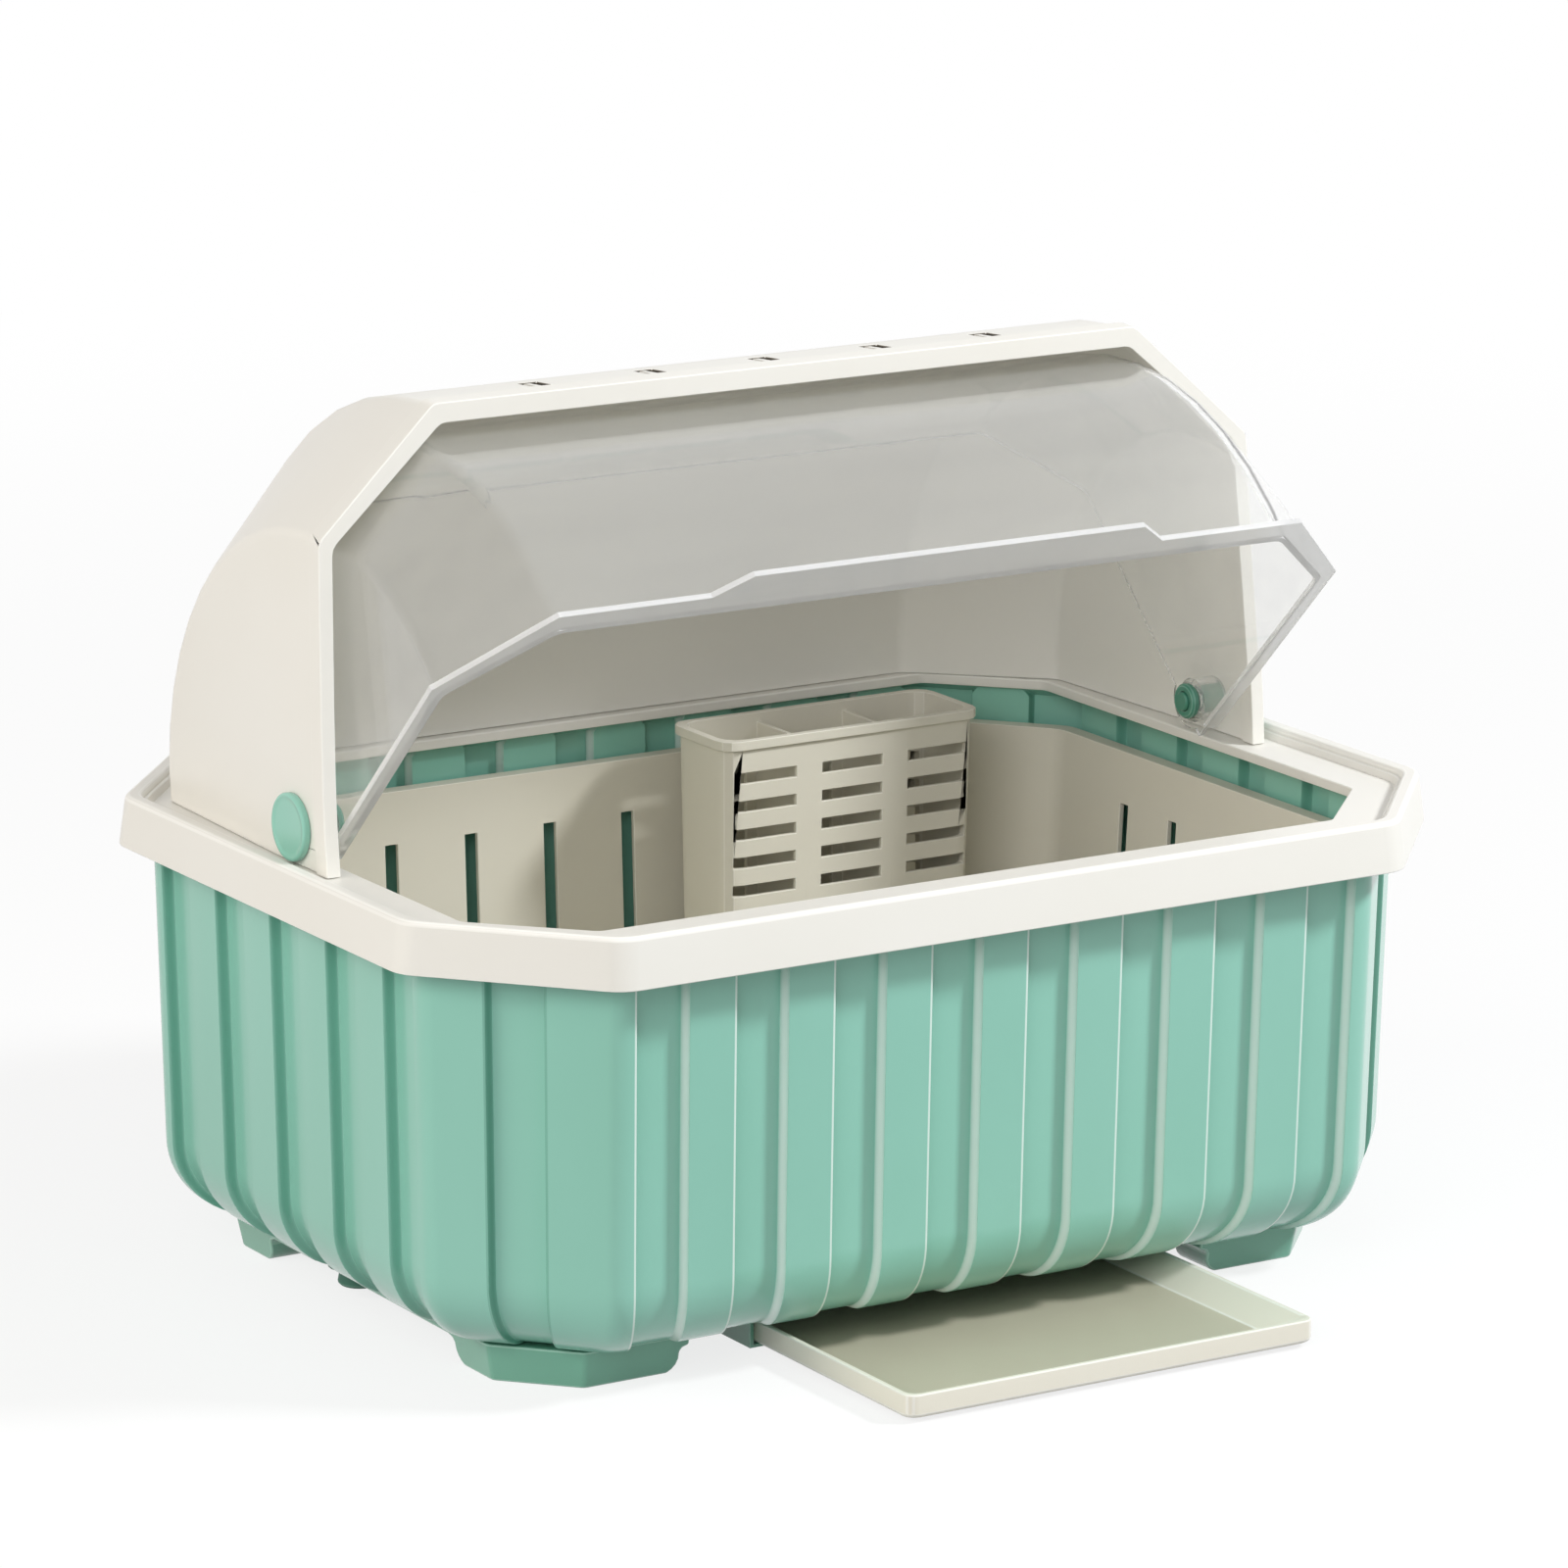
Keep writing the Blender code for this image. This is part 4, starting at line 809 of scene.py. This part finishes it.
def flankMarks(settings, side, lined, inside, tone):  # places across a flank with their tones of painted light
    marks = []
    for step in settings["flankSteps"]:
        depth = min(1.0, max(0.0, 0.5 - side * step))
        mask = depth * depth * (3 - 2 * depth)
        beside = lined and side * step > settings["lineFrom"]
        riser = tone * (4 * mask * (1 - mask)) ** settings["riserPower"]
        marks.append((step, settings["lineTone"] if beside else riser))
    if lined:
        width, soft = settings["line"]
        share = settings["innerLine"] if inside else 1.0
        marks.append((side * (0.5 + width * share), settings["lineTone"]))
        marks.append((side * (0.5 + (width + soft) * share), 0.0))
    return sorted(marks)


def sideStations(settings, index, fullLength, widen, press):  # across one side's grooves
    count, end, shift, tone, first, lined = settings["grooves"][index % len(settings["grooves"])]
    pitch = (fullLength - 2 * end) / (count - 1 + settings["grooveShare"])
    half = pitch * settings["grooveShare"] / 2 + widen
    stations = []            # place, cell and painted light tone of each
    for groove in range(count):
        centre = shift + (groove - (count - 1) / 2) * pitch
        for side, share in ((-1, first), (1, 1.0)):
            for step, mark in flankMarks(settings, side, side in lined, widen > 0, share):
                place = centre + side * half + step * settings["flank"]
                stations.append((place, (place - shift) / pitch + count / 2, mark * tone * press))
    return pitch, stations


def tubShell(settings):  # the smooth shell, with the facts that its tree and its plastic read
    low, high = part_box("collar")
    middleY = (low.y + high.y) / 2
    outline = (high.x, (high.y - low.y) / 2, *settings["cut"])
    full = octagonCorners(insetOctagon(outline, settings["inset"]))
    rings = []
    facts = {"cell": [], "pitch": [], "widen": [], "press": [], "riser": [], "inward": []}
    for distance, z, widen, press in ringRows(settings):
        corners = octagonCorners(insetOctagon(outline, distance))
        radius = settings["corner"] - (settings["wall"] if widen else 0.0)
        ring = []
        for index, here in enumerate(corners):
            after = corners[(index + 1) % len(corners)]
            along = (after - here).normalized()
            fullLength = (full[(index + 1) % len(full)] - full[index]).length
            scale = (after - here).length / fullLength
            pitch, ribs = sideStations(settings, index, fullLength, widen, press)
            arc = cornerArc(here, corners[index - 1], after, radius, settings["cornerSteps"])
            stations = [(point, 0.0, 0.0, 0.0) for point in arc]
            for place, cell, tone in ribs:
                stations.append(((here + after) / 2 + along * place * scale, cell, press, tone))
            for point, cell, strength, tone in stations:
                ring.append((point.x, point.y + middleY, z))
                facts["cell"].append(cell)
                facts["pitch"].append(pitch)
                facts["widen"].append(widen)
                facts["press"].append(strength)
                facts["riser"].append(tone)
                facts["inward"] += [-along.y, along.x, 0.0]
        rings.append(ring)
    piece = newPiece("ribbed_tub", skinned("ribbed_tub", rings))
    for name, values in facts.items():
        kind, field = ("FLOAT_VECTOR", "vector") if name == "inward" else ("FLOAT", "value")
        piece.data.attributes.new(name, kind, "POINT").data.foreach_set(field, values)
    return piece


def floorHelpers(settings):  # the spout round the outlet, and the two bores
    outlet, plug = settings["outlet"], settings["plugBore"]
    top = settings["floor"] + settings["wall"]
    low = settings["floor"] - outlet["drop"]
    rise = top - settings["spoutSink"]
    ends = (low - settings["boreEnds"], top + settings["boreEnds"])
    spout = post("spout", outlet["place"], outlet["bore"] / 2 + outlet["wall"], low, rise)
    outletBore = post("outletBore", outlet["place"], outlet["bore"] / 2, *ends)
    plugBore = post("plugBore", plug["place"], plug["bore"] / 2, *ends)
    return [("UNION", spout), ("DIFFERENCE", outletBore), ("DIFFERENCE", plugBore)]


def buildTub(settings):
    piece = tubShell(settings)
    values = {"Groove Depth": settings["grooveDepth"], "Groove Share": settings["grooveShare"]}
    values |= {"Flank": settings["flank"], "Material": tubPlastic}
    grow(piece, pressedGrooves, values)
    helpers = floorHelpers(settings)
    for operation, helper in helpers:
        cut = piece.modifiers.new(helper.name, "BOOLEAN")
        cut.operation = operation
        cut.solver = "EXACT"
        cut.object = helper
    flattened(finished(piece, settings["smooth"]))
    for _, helper in helpers:
        bpy.data.objects.remove(helper)
    for name in ("cell", "pitch", "widen", "press", "inward"):
        if name in piece.data.attributes:
            piece.data.attributes.remove(piece.data.attributes[name])
    return placed(piece, "base", "green_plastic", "tub")


buildTub(tub)
print("tub built")


# Feet, rails and tray under the tub
feet = {"edge": 0.0010, "railEdge": 0.0004}
tray = {
    "edge": 0.0006,
    "brim": 0.002,           # height of the brim, which stays pale
    "level": 0.95,           # how level a face of the floor lies
}


def buildFeet(settings):
    for end in ("front", "rear"):
        for side in ("left", "right"):
            node = f"foot_{end}_{side}"
            name = node + "_moulding"
            roundedCopy(node, name, "base", "green_plastic", footPlastic, settings["edge"])
    for side in ("left", "right"):
        node, name = f"tray_runner_{side}", f"tray_rail_{side}"
        roundedCopy(node, name, "base", "green_plastic", footPlastic, settings["railEdge"])


def buildTray(settings):
    name, edge = "drip_tray_moulding", settings["edge"]
    piece = roundedCopy("drip_tray", name, "tray", "cream_plastic", trayPlastic, edge)
    piece.data.materials.append(dampPlastic)
    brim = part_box("drip_tray")[1].z - settings["brim"]
    for face in piece.data.polygons:  # painted shade: the floor is darker than the walls, as shade under the tub
        face.material_index = int(face.normal.z > settings["level"] and face.center.z < brim)
    return piece


buildFeet(feet)
buildTray(tray)
print("feet, rails and tray built")


# Turned pieces: profiles are (distance along X from the seat, radius), spun about a line along X
pivotCap = {
    "head": 0.0030,
    "shaft": 0.0040,
    "spacer": (-0.0145, 0.0060),
    "chamfer": 0.0006,       # at the shaft's tip
    "profile": [             # the head, from its seat round to the middle of its face
        (0.0, 0.0060), (0.0, 0.0135), (0.0003, 0.0137), (0.0019, 0.0137), (0.0025, 0.0135),
        (0.0029, 0.0131), (0.0030, 0.0126), (0.0029, 0.0120), (0.0026, 0.0114),
        (0.0025, 0.0100), (0.0024, 0.0060), (0.0023, 0.0030), (0.0023, 0.0004),
    ],
    "segments": 72,
    "smooth": 40.0,          # degrees
    "slack": 0.0001,         # a face this far inside the seat is the shaft's
    "ringEdge": 0.0003,
}
stopper = {"edge": 0.0004}


def spun(name, profile, sign, seat, centre, segments):
    rings = []
    for x, radius in profile:
        along = sign * (seat + x)
        rings.append([(along, centre.y + y, centre.z + z) for y, z in circle(radius, segments)])
    return skinned(name, rings)


coverHinge = next(joint for joint in frame["joints"] if joint["name"] == "cover_hinge")
hingePoint = Vector(coverHinge["pos_m"])


def buildCaps(settings):
    for side, sign in (("left", -1), ("right", 1)):
        low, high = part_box(f"pivot_button_{side}")
        outer = max(abs(low.x), abs(high.x))
        inner = min(abs(low.x), abs(high.x))
        seat = outer - settings["head"]
        tip, (start, wide), thin = inner - seat, settings["spacer"], settings["shaft"]
        cut = settings["chamfer"]
        profile = [(tip, thin - cut), (tip + cut, thin), (start, thin), (start, wide)]
        profile += settings["profile"]
        name = f"pivot_cap_{side}"
        mesh = spun(name, profile, sign, seat, hingePoint, settings["segments"])
        mesh.materials.append(greenPlastic)
        mesh.materials.append(clipPlastic)
        for face in mesh.polygons:  # painted shade: the shaft, inside the hood, is darker than the head
            face.material_index = int(abs(face.center.x) < seat - settings["slack"])
        piece = finished(newPiece(name, mesh), settings["smooth"])
        placed(piece, "top", "green_plastic", f"pivot_button_{side}")
        node, name = f"pivot_clip_{side}", f"pivot_ring_{side}"
        roundedCopy(node, name, "top", "green_plastic", clipPlastic, settings["ringEdge"])


buildCaps(pivotCap)
roundedCopy("drain_plug", "drain_stopper", "base", "plug_rubber", plugRubber, stopper["edge"])
print("pivots and plug built")


# Top: collar, hood and the clear cover
collar = {"edge": 0.0007}
roundedCopy("collar", "collar_moulding", "top", "cream_plastic", creamPlastic, collar["edge"])
vents = {
    "count": 5,
    "pitch": 0.053,
    "place": (0.036, 0.36525),   # middle of a vent on the roof
    "half": (0.0044, 0.0060),
    "wall": 0.0028,
    "lean": radians(-4.1),
    "edge": 0.0005,
    "upright": 0.6,          # a slot's wall has an upward normal below this
    "fillings": {            # half sizes, share of the wall's depth and plastic
        "vent_linings": ((0.0047, 0.0063, 0.0004), 0.86, creamPlastic),
        "vent_shades": ((0.0046, 0.0062, 0.0003), 0.62, ventShade),
        "vent_tabs": ((0.0013, 0.0063, 0.0005), 0.34, creamPlastic),
    },
}


def buildVents(settings):
    hood = weldedCopy("hood", "hood_shell", creamPlastic)
    hood.data.materials.append(ventShade)
    bevelled(hood, settings["edge"], False)
    (y, z), (halfX, halfY) = settings["place"], settings["half"]
    pitch, slack = settings["pitch"], settings["edge"] / 2
    for face in hood.data.polygons:  # painted shade: the slots' walls are dark
        across = abs(face.center.x / pitch - round(face.center.x / pitch)) * pitch
        inside = across < halfX + slack and abs(face.center.y - y) < halfY + slack
        high = face.center.z > z - 2 * settings["wall"]
        if inside and high and abs(face.normal.z) < settings["upright"]:
            face.material_index = 1
    placed(hood, "top", "cream_plastic", "hood")
    # the dark plates in the slots are painted shade; the linings and tabs are cream
    for name, (sides, depth, material) in settings["fillings"].items():
        mesh = blocks("vent_item", [([-side for side in sides], sides)])
        mesh.transform(Matrix.Rotation(settings["lean"], 4, "X"))
        item = newPiece("vent_item", mesh)
        start = (-(settings["count"] - 1) / 2 * pitch, y, z - settings["wall"] * depth)
        values = {"Item": item, "Count": settings["count"], "Start": start, "Material": material}
        values |= {"Step": (pitch, 0.0, 0.0), "Rows": 1, "Row Step": (0.0, 0.0, 0.0)}
        row = newPiece(name, bpy.data.meshes.new(name))
        finished(grow(row, evenRows, values))
        bpy.data.objects.remove(item)
        placed(row, "top", "cream_plastic")


buildVents(vents)
cover = {
    "openAngle": radians(45.0),
    "flange": (-0.0149, -0.0119),  # heights from the hinge, with the cover shut
    "edge": 0.0003,
}


def buildCover(settings):
    piece = weldedCopy("clear_cover", "flip_cover", coverPlastic)
    bevelled(piece, settings["edge"], False)
    piece.data.materials.append(coverRimPlastic)
    closing = Matrix.Rotation(settings["openAngle"], 3, "X")
    low, high = settings["flange"]
    for face in piece.data.polygons:  # the flange is milky
        middle = closing @ (face.center - hingePoint)
        face.material_index = int(low < middle.z < high)
    return placed(piece, "cover", "clear_plastic", "clear_cover")


buildCover(cover)
print("top built")


# Inside: slotted basket, cutlery holder and the plate rack with its rows of prongs
slotted = {
    "edge": 0.0003,
    "pieces": {              # each CAD node's piece and body
        "drain_basket": ("slotted_basket", "base"),
        "cutlery_holder": ("slotted_holder", "cutlery"),
    },
}
for node, (name, body) in slotted["pieces"].items():
    roundedCopy(node, name, body, "basket_plastic", basketPlastic, slotted["edge"], False)
rack = {
    "count": 10,
    "pitch": 0.0175,
    "rail": 0.009,           # height of the rails
    "thick": 0.0032,
    "barWidth": 0.006,
    "barHeight": 0.005,
    "barInset": 0.0017,      # from the rails' ends to the outer bars
    "edge": 0.0007,
    "foot": (0.0036, 0.0016),  # half width and half thickness of a prong at its foot
    "tip": (0.0017, 0.0013),   # and near its tip
    "sunk": 0.001,           # how deep a prong stands in its rail
    "levels": 10,
    "round": 16,
    "tipAngles": (pi / 8, pi / 4, 3 * pi / 8, 0.47 * pi),
    "fullness": 0.6,         # 1 is an ellipse, less is squarer
}


def prong(settings, height):  # a flattened tapering pin with a round tip
    rings = []
    (footX, footY), (tipX, tipY) = settings["foot"], settings["tip"]
    straight = height - tipX
    steps = settings["levels"]
    levels = [(straight * step / steps, 1.0) for step in range(steps + 1)]
    levels += [(straight + tipX * sin(angle), cos(angle)) for angle in settings["tipAngles"]]
    for z, share in levels:
        taper = min(1.0, z / straight)
        halfX = (footX + (tipX - footX) * taper) * share
        halfY = (footY + (tipY - footY) * taper) * share
        ring = []
        for x, y in circle(1.0, settings["round"]):
            x, y = (copysign(abs(part) ** settings["fullness"], part) for part in (x, y))
            ring.append((halfX * x, halfY * y, z))
        rings.append(ring)
    piece = newPiece("prong", skinned("prong", rings))
    piece.data.shade_smooth()
    return piece


def buildRack(settings):
    low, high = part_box("plate_rack")
    thick, width, pitch = settings["thick"], settings["barWidth"], settings["pitch"]
    shoulder = low.z + settings["rail"]
    front, back, barTop = low.y + thick, high.y - thick, low.z + settings["barHeight"]
    boxes = [((low.x, y, low.z), (high.x, y + thick, shoulder)) for y in (low.y, back)]
    inset = settings["barInset"]
    run = high.x - low.x - 2 * inset - width
    for share in (0.0, 0.5, 1.0):
        left = low.x + inset + run * share
        boxes.append(((left, front, low.z), (left + width, back, barTop)))
    piece = bevelled(newPiece("toothed_rack", blocks("toothed_rack", boxes)), settings["edge"])
    pin = prong(settings, high.z - shoulder + settings["sunk"])
    values = {
        "Item": pin,
        "Count": settings["count"],
        "Start": (low.x + pitch / 2, low.y + thick / 2, shoulder - settings["sunk"]),
        "Step": (pitch, 0.0, 0.0),
        "Rows": 2,
        "Row Step": (0.0, high.y - low.y - thick, 0.0),
        "Material": basketPlastic,
    }
    finished(grow(piece, evenRows, values))
    bpy.data.objects.remove(pin)
    return placed(piece, "rack", "basket_plastic", "plate_rack")


buildRack(rack)
print("inside built")
